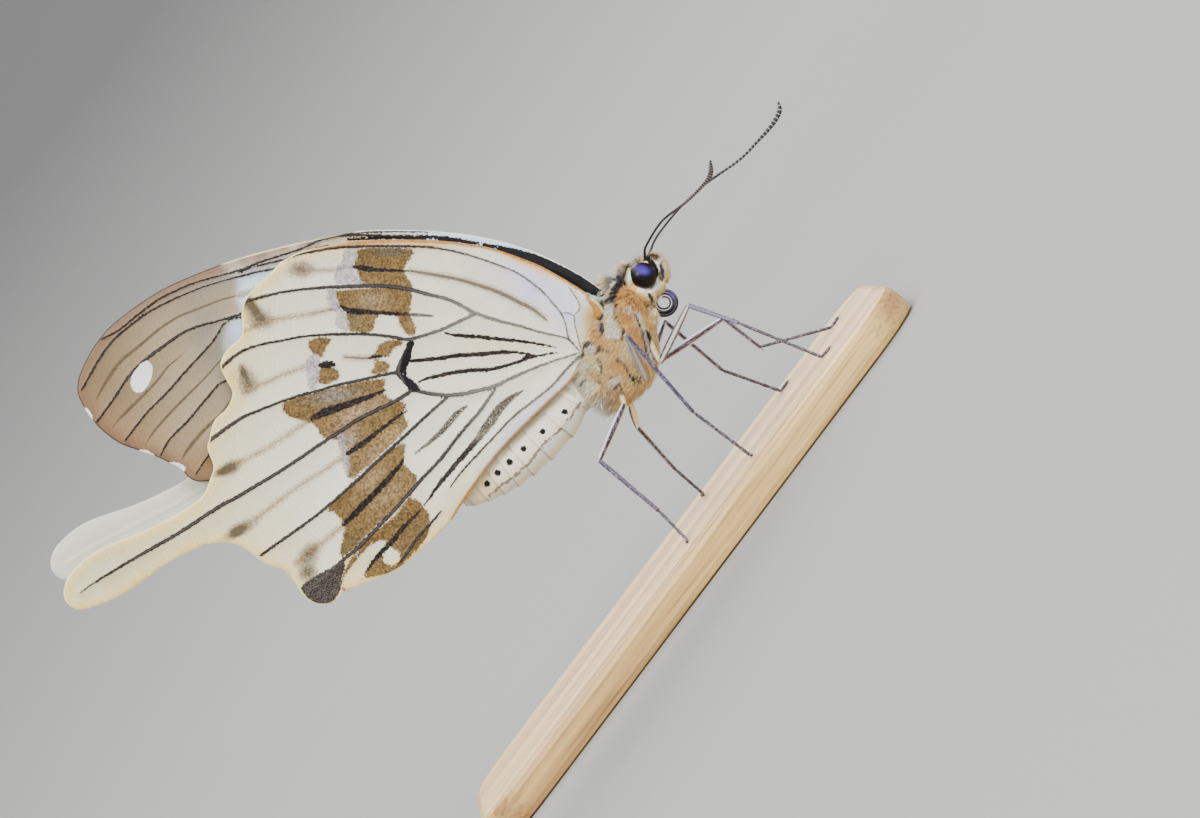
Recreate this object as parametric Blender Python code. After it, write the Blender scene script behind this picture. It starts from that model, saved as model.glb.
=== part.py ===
"""Mocker swallowtail, male, life size: a museum-style model at rest with closed wings, standing on a plain base.

The side plan below is drawn in millimetres from the root of the forewing, in the climbing pose: u runs
towards the head, v towards the costa of the wings. level() turns it by CLIMB_ANGLE, so that all six feet
meet one level. The model faces +X, its left is +Y and +Z is up. The origin is at the centre of the base's
underside.
"""
import math

import bmesh
import bpy
from mathutils import Vector, geometry

MM = 0.001

# Base and stance
BASE_LENGTH = 66.0
BASE_WIDTH = 34.0
BASE_HEIGHT = 3.5
BASE_CORNER = 6.0
BASE_BEVEL = 0.8
GAP = 0.3
CLIMB_ANGLE = math.radians(53.0)
ROOT_X = 15.8
ROOT_HEIGHT = 21.3
FOOT_LEVEL = BASE_HEIGHT + GAP

# Wings
WING_THICKNESS = 0.5
FOREWING_LAYER = 0.55
HINDWING_LAYER = 1.65
WING_ROOT_SPREAD = 1.2
WING_ROOT_FADE = 6.0
ANAL_SPREAD = 1.0
ANAL_FADE = 3.5
WING_GRID = 2.8
WING_EDGE_STEP = 1.1
LEFT_HINDWING_LIFT = math.radians(3.0)
VEIN_RISE = 0.16
VEIN_FOOT = 0.38
VEIN_STEP = 2.6
VEIN_CLEARANCE = 0.6
CDT_NEARNESS = 0.02

FOREWING_OUTLINE = [
    (0.2, 0.1), (-1.8, 1.5), (-4.8, 3.1), (-7.8, 4.3), (-11.8, 5.3), (-15.8, 5.8), (-19.8, 5.95),
    (-23.8, 5.85), (-27.8, 5.1), (-31.8, 4.2), (-35.8, 3.1), (-39.8, 1.65), (-43.8, -0.2), (-47.8, -3.0),
    (-49.8, -5.1), (-51.3, -7.7), (-51.85, -9.8), (-51.3, -11.5), (-49.8, -13.6), (-47.8, -15.2),
    (-45.8, -16.0), (-43.8, -16.7), (-41.8, -17.7), (-39.0, -19.1), (-29.8, -15.9), (-19.8, -11.9),
    (-9.8, -7.7), (-2.3, -5.0), (0.4, -4.0), (1.4, -2.2), (1.1, -0.7),
]
HINDWING_OUTLINE = [
    (-1.0, -0.5), (-2.3, 0.4), (-3.8, 1.3), (-5.8, 2.4), (-7.8, 3.2), (-9.8, 3.9), (-11.8, 4.4),
    (-15.8, 4.9), (-19.8, 5.0), (-23.8, 4.85), (-27.8, 4.2), (-29.8, 3.7), (-31.5, 2.8), (-32.8, 1.5),
    (-34.3, 0.1), (-35.2, -1.1), (-35.5, -2.5), (-35.5, -4.5), (-37.0, -6.0), (-37.6, -7.5), (-37.0, -9.0),
    (-36.4, -10.3), (-37.0, -11.8), (-38.2, -13.0), (-38.7, -14.8), (-38.9, -15.8), (-38.3, -17.5),
    (-38.6, -18.7), (-39.3, -20.3), (-40.8, -21.6), (-44.8, -23.8), (-49.8, -25.9), (-52.3, -28.0),
    (-53.1, -29.5), (-53.0, -30.9), (-51.8, -31.8), (-49.8, -31.4), (-46.8, -30.0), (-43.3, -27.5),
    (-40.8, -26.1), (-38.3, -25.2), (-35.8, -25.4), (-33.3, -27.2), (-31.8, -27.7), (-30.8, -28.2),
    (-29.5, -30.3), (-28.0, -31.3), (-26.3, -31.1), (-25.3, -30.1), (-22.8, -29.0), (-20.0, -27.8),
    (-17.0, -25.3), (-14.6, -22.8), (-12.8, -20.0), (-9.8, -16.0), (-5.8, -11.9), (-2.8, -9.0),
    (-0.8, -6.2), (0.6, -4.8), (0.7, -2.8), (0.1, -1.4),
]
FOREWING_VEINS = {
    "radius": [
        (-1.8, 0.9), (-5.8, 2.6), (-9.8, 3.7), (-15.8, 4.6), (-23.8, 4.4), (-29.8, 3.3), (-35.8, 1.9),
        (-39.8, 0.8), (-43.8, -1.0), (-47.8, -4.1), (-49.6, -5.6),
    ],
    "fourth radial": [
        (-24.0, 3.2), (-31.8, 2.0), (-35.8, 1.0), (-39.8, -0.2), (-43.8, -2.0), (-47.6, -4.9), (-50.2, -8.2),
        (-51.2, -10.2),
    ],
    "first medial": [
        (-21.8, 0.0), (-26.8, -0.6), (-31.8, -1.4), (-35.5, -2.4), (-40.8, -4.0), (-45.8, -7.6), (-49.6, -13.0),
    ],
    "second medial": [
        (-21.0, -3.4), (-26.8, -3.2), (-31.8, -2.9), (-36.6, -3.6), (-40.8, -7.8), (-44.8, -12.1),
        (-47.0, -15.0),
    ],
    "third medial": [(-20.3, -7.2), (-26.8, -8.0), (-31.8, -8.0), (-37.0, -9.4), (-40.8, -13.0), (-43.4, -16.4)],
    "cubital": [(-16.8, -9.5), (-26.8, -11.5), (-33.8, -12.4), (-37.5, -14.0), (-40.3, -17.8)],
    "cell": [
        (-1.0, -1.5), (-5.8, 0.2), (-12.8, 1.2), (-21.8, 0.0), (-21.0, -3.4), (-20.3, -7.2), (-16.8, -9.5),
        (-9.8, -6.4), (-1.5, -3.4),
    ],
    "anal": [(-1.5, -3.9), (-9.8, -7.2), (-19.8, -11.2), (-29.8, -15.0), (-37.5, -18.0)],
}
HINDWING_VEINS = {
    "subcostal": [
        (-2.0, -5.4), (-3.3, -4.2), (-3.8, -2.3), (-5.8, 0.0), (-9.8, 2.4), (-13.8, 3.7), (-17.8, 4.1),
        (-21.8, 4.1), (-27.8, 3.4), (-31.0, 2.4),
    ],
    "radial sector": [
        (-3.3, -4.8), (-7.8, -3.6), (-12.3, -2.3), (-16.8, -0.5), (-21.8, 0.45), (-25.8, 0.4), (-31.8, -0.4),
        (-34.8, -1.1),
    ],
    "first medial": [
        (-12.3, -2.4), (-14.3, -3.3), (-18.8, -4.9), (-24.8, -4.35), (-28.8, -4.7), (-32.8, -5.4),
        (-35.8, -6.6), (-37.2, -7.6),
    ],
    "cell end": [(-18.8, -4.9), (-19.6, -7.2), (-20.0, -8.2), (-18.8, -9.9)],
    "second medial": [(-20.0, -8.2), (-27.8, -10.0), (-31.8, -11.2), (-35.8, -12.8), (-38.3, -14.7)],
    "third medial": [(-18.8, -10.0), (-25.8, -14.0), (-33.8, -19.1), (-41.8, -24.2), (-45.8, -26.5), (-51.3, -29.8)],
    "cell floor": [(-18.8, -9.9), (-14.9, -10.5), (-10.8, -9.7), (-5.8, -7.5), (-2.2, -6.0)],
    "first cubital": [(-14.9, -10.5), (-19.8, -15.1), (-25.8, -20.7), (-29.8, -23.6), (-33.6, -26.4)],
    "second cubital": [(-10.3, -9.8), (-13.8, -14.3), (-18.3, -19.5), (-23.8, -25.5), (-28.6, -30.4)],
    "anal": [(-2.4, -6.6), (-5.4, -10.2), (-11.0, -15.4), (-15.7, -22.0), (-19.4, -26.6)],
    "humeral": [(-1.9, -5.2), (-2.4, -3.5), (-3.0, -0.4)],
}

# Body, in its own axes: s runs towards the head, t towards the underside
THORAX_CENTRE = (2.2, -5.5)
BODY_ANGLE = math.radians(56.4)
# s, back line, belly line, half width
THORAX_STATIONS = [
    (6.2, -2.7, -1.0, 0.45), (5.6, -3.1, -0.7, 0.65), (5.0, -3.7, -0.2, 1.6), (4.4, -4.2, 0.8, 2.4),
    (3.9, -4.5, 1.9, 2.7),
    (2.6, -4.8, 3.1, 3.2), (1.0, -5.0, 4.0, 3.4), (-1.0, -4.9, 4.6, 3.4), (-3.0, -4.4, 4.4, 3.2),
    (-4.6, -3.6, 3.5, 2.8), (-6.0, -2.9, 2.2, 2.3), (-6.6, -2.2, 1.2, 1.6),
]
THORAX_SQUARENESS = 2.4
THORAX_SIDES = 24
# u, v, radius along the abdomen
ABDOMEN_LINE = [
    (-1.6, -8.8, 1.9), (-2.3, -10.0, 2.1), (-3.0, -11.3, 2.25), (-3.8, -12.7, 2.35), (-5.2, -14.3, 2.4),
    (-6.8, -15.9, 2.4), (-8.5, -17.4, 2.3), (-10.1, -18.7, 2.05), (-11.6, -19.8, 1.7), (-12.7, -20.7, 1.2),
    (-13.4, -21.3, 0.6),
]
ABDOMEN_SIDES = 16
ABDOMEN_RING_STEP = 0.68
SEGMENT_PROFILE = (0.96, 1.0, 1.03)
HEAD_CENTRE = (4.8, 1.7)
HEAD_RADII = (1.5, 1.65, 1.6)
EYE_CENTRE = (4.45, 1.45, 1.15)
EYE_RADII = (1.3, 1.15, 1.42)
EYE_INNER_FACE = 0.95

# Head parts: u, v, y of the left side, radius
PALP_LINE = [(6.2, 0.1, 0.9, 0.3), (6.7, 0.9, 0.95, 0.42), (6.9, 1.9, 0.95, 0.42), (6.6, 3.0, 0.85, 0.28)]
ANTENNA_LEFT_LINE = [
    (4.9, 3.0, 0.5, 0.27), (6.0, 5.5, 0.8, 0.25), (8.2, 8.2, 1.2, 0.25), (10.5, 10.4, 1.7, 0.25),
    (14.2, 13.0, 2.5, 0.25), (16.2, 15.0, 3.0, 0.27), (17.7, 16.7, 3.4, 0.36), (18.4, 18.0, 3.7, 0.4),
    (18.3, 18.9, 3.9, 0.26),
]
ANTENNA_RIGHT_LINE = [
    (4.7, 3.0, -0.5, 0.27), (4.7, 4.4, -1.6, 0.25), (5.7, 6.3, -4.2, 0.25), (6.5, 7.3, -6.2, 0.25),
    (8.2, 8.7, -9.6, 0.25), (9.9, 10.6, -13.2, 0.3), (10.3, 11.5, -14.7, 0.4), (10.2, 12.6, -15.9, 0.26),
]
COIL_CENTRE = (6.6, -1.1)
COIL_RADIUS = 1.2
COIL_INNER_RADIUS = 0.45
COIL_TURNS = 1.3
COIL_START = math.radians(150.0)
COIL_ROOT = (5.3, 0.6)
PROBOSCIS_RADIUS = 0.21
TUBE_SIDES = 8

# Legs: joints in the side plan as u, v, distance from the median plane, radius; then the foot
LEG_FOOT_LENGTH = 1.3
FOOT_RADIUS = 0.26
LEGS = {
    "leg_fore_right": (
        [(4.7, -4.5, -1.6, 0.42), (6.1, -7.2, -2.3, 0.42), (8.8, -1.5, -3.6, 0.34), (13.7, -3.2, -5.0, 0.26)],
        (24.9, -6.6),
    ),
    "leg_fore_left": (
        [(4.7, -4.5, 1.6, 0.42), (6.3, -7.2, 2.3, 0.42), (12.8, -2.9, 4.0, 0.34), (16.6, -5.8, 5.4, 0.26)],
        (28.4, 7.4),
    ),
    "leg_mid_right": (
        [(4.2, -8.0, -1.6, 0.42), (4.7, -8.8, -2.6, 0.42), (2.5, -4.4, -6.8, 0.34), (9.0, -11.9, -8.2, 0.26)],
        (11.8, -9.4),
    ),
    "leg_mid_left": (
        [(4.4, -7.6, 1.6, 0.42), (5.0, -8.4, 2.4, 0.42), (7.0, -3.2, 6.2, 0.34), (13.0, -8.2, 8.4, 0.26)],
        (20.2, 9.6),
    ),
    "leg_hind_right": (
        [(2.2, -10.2, -1.3, 0.42), (2.5, -11.4, -2.3, 0.42), (0.0, -16.9, -4.4, 0.34), (5.8, -21.8, -5.6, 0.26)],
        (1.1, -10.4),
    ),
    "leg_hind_left": (
        [(2.4, -10.0, 1.3, 0.42), (3.4, -11.6, 2.3, 0.42), (4.2, -13.9, 5.4, 0.34), (8.1, -18.2, 7.6, 0.26)],
        (5.6, 10.2),
    ),
}


# Frames

def level(u, v, y=0.0):
    """World point, in millimetres, of a side plan point."""
    x = u * math.cos(CLIMB_ANGLE) + v * math.sin(CLIMB_ANGLE) + ROOT_X
    z = -u * math.sin(CLIMB_ANGLE) + v * math.cos(CLIMB_ANGLE) + FOOT_LEVEL + ROOT_HEIGHT
    return Vector((x, y, z))


def body_point(s, t, y=0.0):
    """World point of a point in the body's own axes."""
    u = THORAX_CENTRE[0] + s * math.cos(BODY_ANGLE) + t * math.sin(BODY_ANGLE)
    v = THORAX_CENTRE[1] + s * math.sin(BODY_ANGLE) - t * math.cos(BODY_ANGLE)
    return level(u, v, y)


def smooth_path(points, per_span, closed=False):
    """Points of any dimension on a Catmull-Rom curve through the given ones."""
    count = len(points)
    spans = count if closed else count - 1
    path = []
    for i in range(spans):
        near = []
        for k in (i - 1, i, i + 1, i + 2):
            index = k % count if closed else min(max(k, 0), count - 1)
            near.append(points[index])
        for step in range(per_span):
            w = step / per_span
            path.append(tuple(
                0.5 * (2 * b + (c - a) * w + (2 * a - 5 * b + 4 * c - d) * w * w
                       + (3 * b - a - 3 * c + d) * w ** 3)
                for a, b, c, d in zip(*near)
            ))
    if not closed:
        path.append(tuple(points[-1]))
    return path


def spaced(path, step, closed=False):
    """The path's points at about equal distances."""
    ends = path + [path[0]] if closed else path
    lengths = [0.0]
    for a, b in zip(ends, ends[1:]):
        lengths.append(lengths[-1] + math.dist(a, b))
    count = max(2, round(lengths[-1] / step))
    found = []
    j = 0
    for i in range(count if closed else count + 1):
        goal = lengths[-1] * i / count
        while j < len(ends) - 2 and lengths[j + 1] < goal:
            j += 1
        w = (goal - lengths[j]) / max(lengths[j + 1] - lengths[j], 1e-9)
        found.append(tuple(p + (q - p) * w for p, q in zip(ends[j], ends[j + 1])))
    return found


# Objects

def material(name, colour, roughness):
    finish = bpy.data.materials.new(name)
    finish.use_nodes = True
    shader = finish.node_tree.nodes["Principled BSDF"]
    shader.inputs["Base Color"].default_value = (*colour, 1.0)
    shader.inputs["Roughness"].default_value = roughness
    shader.inputs["Metallic"].default_value = 0.0
    return finish


def add_object(name, bm, finish):
    """A named object from a bmesh in millimetres."""
    bmesh.ops.scale(bm, vec=Vector((MM, MM, MM)), verts=bm.verts)
    mesh = bpy.data.meshes.new(name)
    bm.to_mesh(mesh)
    bm.free()
    mesh.materials.append(finish)
    mesh.shade_smooth()
    mesh.set_sharp_from_angle(angle=math.radians(40.0))
    made = bpy.data.objects.new(name, mesh)
    bpy.context.scene.collection.objects.link(made)
    return made


def loft(rings):
    """A closed bmesh through rings of the same number of points, its ends closed by fans."""
    bm = bmesh.new()
    made = [[bm.verts.new(point) for point in ring] for ring in rings]
    for low, high in zip(made, made[1:]):
        for i in range(len(low)):
            j = (i + 1) % len(low)
            bm.faces.new((low[i], low[j], high[j], high[i]))
    for ring in (made[0], made[-1]):
        centre = bm.verts.new(sum((v.co for v in ring), Vector()) / len(ring))
        for i in range(len(ring)):
            bm.faces.new((ring[i - 1], ring[i], centre))
    bmesh.ops.triangulate(bm, faces=bm.faces)
    bmesh.ops.recalc_face_normals(bm, faces=bm.faces)
    return bm


def tube(line, sides=TUBE_SIDES, floor=None):
    """A tapered tube through world points with radii. With a floor, its underside is flat there."""
    centres = [Vector(point[:3]) for point in line]
    rings = []
    across = None
    for i, centre in enumerate(centres):
        before = (centre - centres[i - 1]).normalized() if i else None
        after = (centres[i + 1] - centre).normalized() if i + 1 < len(centres) else None
        along = ((before or after) + (after or before)).normalized()
        if across is None:
            across = along.orthogonal().normalized()
        across = (across - along * across.dot(along)).normalized()
        other = along.cross(across)
        ring = []
        for k in range(sides):
            turn = 2 * math.pi * k / sides
            point = centre + (across * math.cos(turn) + other * math.sin(turn)) * line[i][3]
            if floor is not None:
                point.z = max(point.z, floor)
            ring.append(point)
        rings.append(ring)
    return loft(rings)


def ellipsoid(centre, radii, turn, segments=20, rings=12):
    """A ball stretched along the body's axis, across it towards the underside, and sideways."""
    bm = bmesh.new()
    bmesh.ops.create_uvsphere(bm, u_segments=segments, v_segments=rings, radius=1.0)
    along = Vector((math.cos(turn), 0.0, math.sin(turn)))
    under = Vector((math.sin(turn), 0.0, -math.cos(turn)))
    for vert in bm.verts:
        a, b, c = vert.co
        vert.co = centre + along * a * radii[0] + under * b * radii[1] + Vector((0.0, c * radii[2], 0.0))
    bmesh.ops.triangulate(bm, faces=bm.faces)
    bmesh.ops.recalc_face_normals(bm, faces=bm.faces)
    return bm


def keep_largest(made):
    """Drop all but the largest closed surface of the object."""
    bm = bmesh.new()
    bm.from_mesh(made.data)
    groups = []
    unseen = set(bm.verts)
    while unseen:
        edge_of_group = [unseen.pop()]
        group = set(edge_of_group)
        while edge_of_group:
            vert = edge_of_group.pop()
            for edge in vert.link_edges:
                other = edge.other_vert(vert)
                if other in unseen:
                    unseen.discard(other)
                    group.add(other)
                    edge_of_group.append(other)
        groups.append(group)
    groups.sort(key=len)
    for group in groups[:-1]:
        bmesh.ops.delete(bm, geom=list(group), context="VERTS")
    bm.to_mesh(made.data)
    bm.free()


def carve(target, cutters):
    """Cut each cutter from the target, for good, and keep the target's largest piece."""
    for cutter in cutters:
        boolean = target.modifiers.new("carve", "BOOLEAN")
        boolean.operation = "DIFFERENCE"
        boolean.object = cutter
    graph = bpy.context.evaluated_depsgraph_get()
    mesh = bpy.data.meshes.new_from_object(target.evaluated_get(graph))
    target.modifiers.clear()
    target.data = mesh
    keep_largest(target)


def as_cutter(name, bm):
    cutter = add_object(name, bm, bpy.data.materials[0])
    cutter.hide_render = True
    cutter.display_type = "WIRE"
    return cutter


# Body

def thorax_mesh(grow=0.0):
    rings = []
    power = 2.0 / THORAX_SQUARENESS
    last = len(THORAX_STATIONS) - 1
    for i, (s, back, belly, half_width) in enumerate(THORAX_STATIONS):
        shift = grow if i == 0 else -grow if i == last else 0.0
        middle = (back + belly) / 2
        half_depth = (belly - back) / 2 + grow
        ring = []
        for k in range(THORAX_SIDES):
            turn = 2 * math.pi * k / THORAX_SIDES
            t = middle + half_depth * math.copysign(abs(math.cos(turn)) ** power, math.cos(turn))
            y = (half_width + grow) * math.copysign(abs(math.sin(turn)) ** power, math.sin(turn))
            ring.append(body_point(s + shift, t, y))
        rings.append(ring)
    return loft(rings)


def abdomen_mesh():
    """A tapered tube whose segments each widen towards their rear edge."""
    line = spaced(smooth_path(ABDOMEN_LINE, 6), ABDOMEN_RING_STEP)
    path = []
    for i, (u, v, radius) in enumerate(line):
        path.append((*level(u, v), radius * SEGMENT_PROFILE[i % len(SEGMENT_PROFILE)]))
    return tube(path, ABDOMEN_SIDES)


def head_mesh(grow=0.0):
    radii = [radius + grow for radius in HEAD_RADII]
    return ellipsoid(level(*HEAD_CENTRE), radii, BODY_ANGLE - CLIMB_ANGLE)


def eye_mesh(side, grow=0.0):
    """A dome, flat on its inner face. side is 1 on the left and -1 on the right."""
    centre = level(EYE_CENTRE[0], EYE_CENTRE[1], EYE_CENTRE[2] * side)
    radii = (EYE_RADII[0] + grow, EYE_RADII[2] + grow, EYE_RADII[1] + grow)
    bm = ellipsoid(centre, radii, BODY_ANGLE - CLIMB_ANGLE)
    inner = Vector((0.0, (EYE_INNER_FACE - grow) * side, 0.0))
    cut = bmesh.ops.bisect_plane(
        bm, geom=bm.verts[:] + bm.edges[:] + bm.faces[:], plane_co=inner,
        plane_no=Vector((0.0, -side, 0.0)), clear_outer=True,
    )
    rim = [item for item in cut["geom_cut"] if isinstance(item, bmesh.types.BMEdge)]
    bmesh.ops.edgeloop_fill(bm, edges=rim)
    bmesh.ops.triangulate(bm, faces=bm.faces)
    bmesh.ops.recalc_face_normals(bm, faces=bm.faces)
    return bm


def build_body(finishes):
    thorax = add_object("thorax", thorax_mesh(), finishes["thorax"])
    thorax_space = as_cutter("thorax_space", thorax_mesh(GAP))
    abdomen = add_object("abdomen", abdomen_mesh(), finishes["abdomen"])
    carve(abdomen, [thorax_space])
    head = add_object("head", head_mesh(), finishes["head"])
    head_space = as_cutter("head_space", head_mesh(GAP))
    eye_spaces = []
    for side, name in ((1, "left"), (-1, "right")):
        add_object("eye_" + name, eye_mesh(side), finishes["eye"])
        eye_spaces.append(as_cutter("eye_space_" + name, eye_mesh(side, GAP)))
        palp = [(*level(u, v, y * side), radius) for u, v, y, radius in smooth_path(PALP_LINE, 3)]
        palp_object = add_object("palp_" + name, tube(palp), finishes["head"])
        carve(palp_object, [head_space])
    carve(head, [thorax_space] + eye_spaces)
    return thorax_space, head_space


def build_feelers(finishes, head_space):
    for name, line in (("left", ANTENNA_LEFT_LINE), ("right", ANTENNA_RIGHT_LINE)):
        path = spaced(smooth_path(line, 6), 1.2)
        antenna = add_object(
            "antenna_" + name, tube([(*level(*point[:3]), point[3]) for point in path]), finishes["antenna"]
        )
        carve(antenna, [head_space])
    steps = 22
    path = [(*level(*COIL_ROOT), PROBOSCIS_RADIUS)]
    for i in range(steps + 1):
        along = i / steps
        turn = COIL_START + 2 * math.pi * COIL_TURNS * along
        radius = COIL_RADIUS + (COIL_INNER_RADIUS - COIL_RADIUS) * along
        u = COIL_CENTRE[0] + radius * math.cos(turn)
        v = COIL_CENTRE[1] + radius * math.sin(turn)
        path.append((*level(u, v), PROBOSCIS_RADIUS))
    proboscis = add_object("proboscis", tube(path), finishes["proboscis"])
    carve(proboscis, [head_space])


# Legs

def build_legs(finishes, thorax_space):
    for name, (joints, (foot_x, foot_y)) in LEGS.items():
        path = [(*level(*joint[:3]), joint[3]) for joint in joints]
        ankle = Vector(path[-1][:3])
        toe = Vector((foot_x, foot_y, FOOT_LEVEL + FOOT_RADIUS * 0.6))
        flat = Vector((toe.x - ankle.x, toe.y - ankle.y, 0.0)).normalized() * LEG_FOOT_LENGTH
        path.append((*(toe - flat), FOOT_RADIUS))
        path.append((*toe, FOOT_RADIUS * 0.8))
        leg = add_object(name, tube(bend_points(path), floor=FOOT_LEVEL), finishes["leg"])
        carve(leg, [thorax_space])


def bend_points(path):
    """The path with each inner joint replaced by three points, so that the tube rounds its bends."""
    found = [path[0]]
    for before, joint, after in zip(path, path[1:], path[2:]):
        reach = 1.5 * joint[3]
        a, b, c = Vector(before[:3]), Vector(joint[:3]), Vector(after[:3])
        enter = b + (a - b).normalized() * reach
        leave = b + (c - b).normalized() * reach
        inner = (enter + leave + b * 2) / 4
        found += [(*enter, joint[3]), (*inner, joint[3]), (*leave, joint[3] * 0.95)]
    found.append(path[-1])
    return found


# Wings

def segment_distance(p, a, b):
    """Distance from p to the segment a b in the side plan."""
    du, dv = b[0] - a[0], b[1] - a[1]
    w = ((p[0] - a[0]) * du + (p[1] - a[1]) * dv) / (du * du + dv * dv)
    w = min(max(w, 0.0), 1.0)
    return math.hypot(p[0] - a[0] - w * du, p[1] - a[1] - w * dv)


def forewing_spread(u, v):
    """Distance of the forewing's middle surface from the median plane."""
    return FOREWING_LAYER + WING_ROOT_SPREAD * math.exp(-math.hypot(u, v) / WING_ROOT_FADE)


def hindwing_spread(u, v):
    """The hindwing lies over the forewing and opens round the abdomen."""
    abdomen = segment_distance((u, v), ABDOMEN_LINE[2][:2], ABDOMEN_LINE[8][:2])
    opened = ANAL_SPREAD * math.exp(-((abdomen / ANAL_FADE) ** 2))
    return HINDWING_LAYER + WING_ROOT_SPREAD * math.exp(-math.hypot(u, v) / WING_ROOT_FADE) + opened


def inside(point, ring):
    """Whether the point is inside the closed ring, by crossings."""
    found = False
    for a, b in zip(ring, ring[1:] + ring[:1]):
        if (a[1] > point[1]) != (b[1] > point[1]):
            if point[0] < a[0] + (b[0] - a[0]) * (point[1] - a[1]) / (b[1] - a[1]):
                found = not found
    return found


def vein_lines(veins, ring):
    """The crest and the two feet of each vein, as lists of points that stay clear of the wing's edge."""
    lines = []
    for vein in veins.values():
        crest = spaced(smooth_path(vein, 6), VEIN_STEP)
        sides = [crest, [], []]
        for i, point in enumerate(crest):
            a, b = crest[max(i - 1, 0)], crest[min(i + 1, len(crest) - 1)]
            length = math.dist(a, b)
            across = ((a[1] - b[1]) / length * VEIN_FOOT, (b[0] - a[0]) / length * VEIN_FOOT)
            sides[1].append((point[0] + across[0], point[1] + across[1]))
            sides[2].append((point[0] - across[0], point[1] - across[1]))
        for line in sides:
            lines.append([point for point in line if edge_distance(point, ring) > VEIN_CLEARANCE])
    return lines


def edge_distance(point, ring):
    return min(segment_distance(point, a, b) for a, b in zip(ring, ring[1:]))


def vein_height(point, crests):
    """How far the membrane's surface is raised at a point: a ridge over each vein's crest."""
    nearest = min(segment_distance(point, a, b) for a, b in crests)
    return VEIN_RISE * max(0.0, 1.0 - nearest / VEIN_FOOT)


def grid_points(edge, ring, lines):
    """Points of an even triangular grid inside the edge and clear of it and of the veins."""
    found = []
    lows = [min(p[k] for p in edge) for k in (0, 1)]
    highs = [max(p[k] for p in edge) for k in (0, 1)]
    row_step = WING_GRID * math.sqrt(3) / 2
    fixed = [point for line in lines for point in line]
    for row in range(int((highs[1] - lows[1]) / row_step) + 1):
        for column in range(int((highs[0] - lows[0]) / WING_GRID) + 1):
            point = (lows[0] + (column + 0.5 * (row % 2)) * WING_GRID, lows[1] + row * row_step)
            if not inside(point, edge) or edge_distance(point, ring) < WING_GRID * 0.4:
                continue
            if min(math.dist(point, other) for other in fixed) > WING_GRID * 0.35:
                found.append(point)
    return found


def wing_mesh(outline, veins, spread, side, lift):
    """One sheet of WING_THICKNESS with its veins raised, split into triangles alike on both faces."""
    edge = spaced(smooth_path(outline, 6, True), WING_EDGE_STEP, True)
    ring = edge + edge[:1]
    lines = vein_lines(veins, ring)
    crests = []
    for vein in veins.values():
        path = smooth_path(vein, 6)
        crests += zip(path, path[1:])
    points = list(edge)
    constraints = []
    for line in lines:
        first = len(points)
        points += line
        constraints += [(i, i + 1) for i in range(first, len(points) - 1)]
    points += grid_points(edge, ring, lines)
    flat, _, faces, *_ = geometry.delaunay_2d_cdt(
        [Vector(p) for p in points], constraints, [list(range(len(edge)))], 1, CDT_NEARNESS
    )
    bm = bmesh.new()
    sheets = []
    for face_side in (-1, 1):
        verts = []
        for p in flat:
            half = WING_THICKNESS / 2 + vein_height(p, crests)
            u = p.x * math.cos(lift) + p.y * math.sin(lift)
            v = p.y * math.cos(lift) - p.x * math.sin(lift)
            verts.append(bm.verts.new(level(u, v, spread(p.x, p.y) * side + face_side * half)))
        for face in faces:
            bm.faces.new([verts[i] for i in face])
        sheets.append(verts)
    uses = {}
    for face in faces:
        for pair in zip(face, face[1:] + face[:1]):
            uses[frozenset(pair)] = uses.get(frozenset(pair), 0) + 1
    for pair, count in uses.items():
        if count == 1:
            i, j = sorted(pair)
            low, high = sheets
            bm.faces.new((low[i], low[j], high[j]))
            bm.faces.new((low[i], high[j], high[i]))
    bmesh.ops.recalc_face_normals(bm, faces=bm.faces)
    return bm


def build_wings(finishes, thorax_space):
    for side, name in ((1, "left"), (-1, "right")):
        forewing = wing_mesh(FOREWING_OUTLINE, FOREWING_VEINS, forewing_spread, side, 0.0)
        carve(add_object("forewing_" + name, forewing, finishes["wing"]), [thorax_space])
        lift = LEFT_HINDWING_LIFT if side > 0 else 0.0
        hindwing = wing_mesh(HINDWING_OUTLINE, HINDWING_VEINS, hindwing_spread, side, lift)
        carve(add_object("hindwing_" + name, hindwing, finishes["wing"]), [thorax_space])


# Base

def build_base(finish):
    bm = bmesh.new()
    bmesh.ops.create_cube(bm, size=1.0)
    bmesh.ops.scale(bm, vec=Vector((BASE_LENGTH, BASE_WIDTH, BASE_HEIGHT)), verts=bm.verts)
    bmesh.ops.translate(bm, vec=Vector((0.0, 0.0, BASE_HEIGHT / 2)), verts=bm.verts)
    uprights = [edge for edge in bm.edges if abs(edge.verts[0].co.z - edge.verts[1].co.z) > BASE_HEIGHT / 2]
    bmesh.ops.bevel(bm, geom=uprights, offset=BASE_CORNER, segments=8, profile=0.5, affect="EDGES", material=-1)
    rims = [
        edge for edge in bm.edges
        if abs(edge.verts[0].co.z - edge.verts[1].co.z) < 0.01 and len(edge.link_faces) == 2
    ]
    bmesh.ops.bevel(bm, geom=rims, offset=BASE_BEVEL, segments=2, profile=0.5, affect="EDGES", material=-1)
    bmesh.ops.triangulate(bm, faces=bm.faces)
    bmesh.ops.recalc_face_normals(bm, faces=bm.faces)
    add_object("stand_base", bm, finish)


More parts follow.
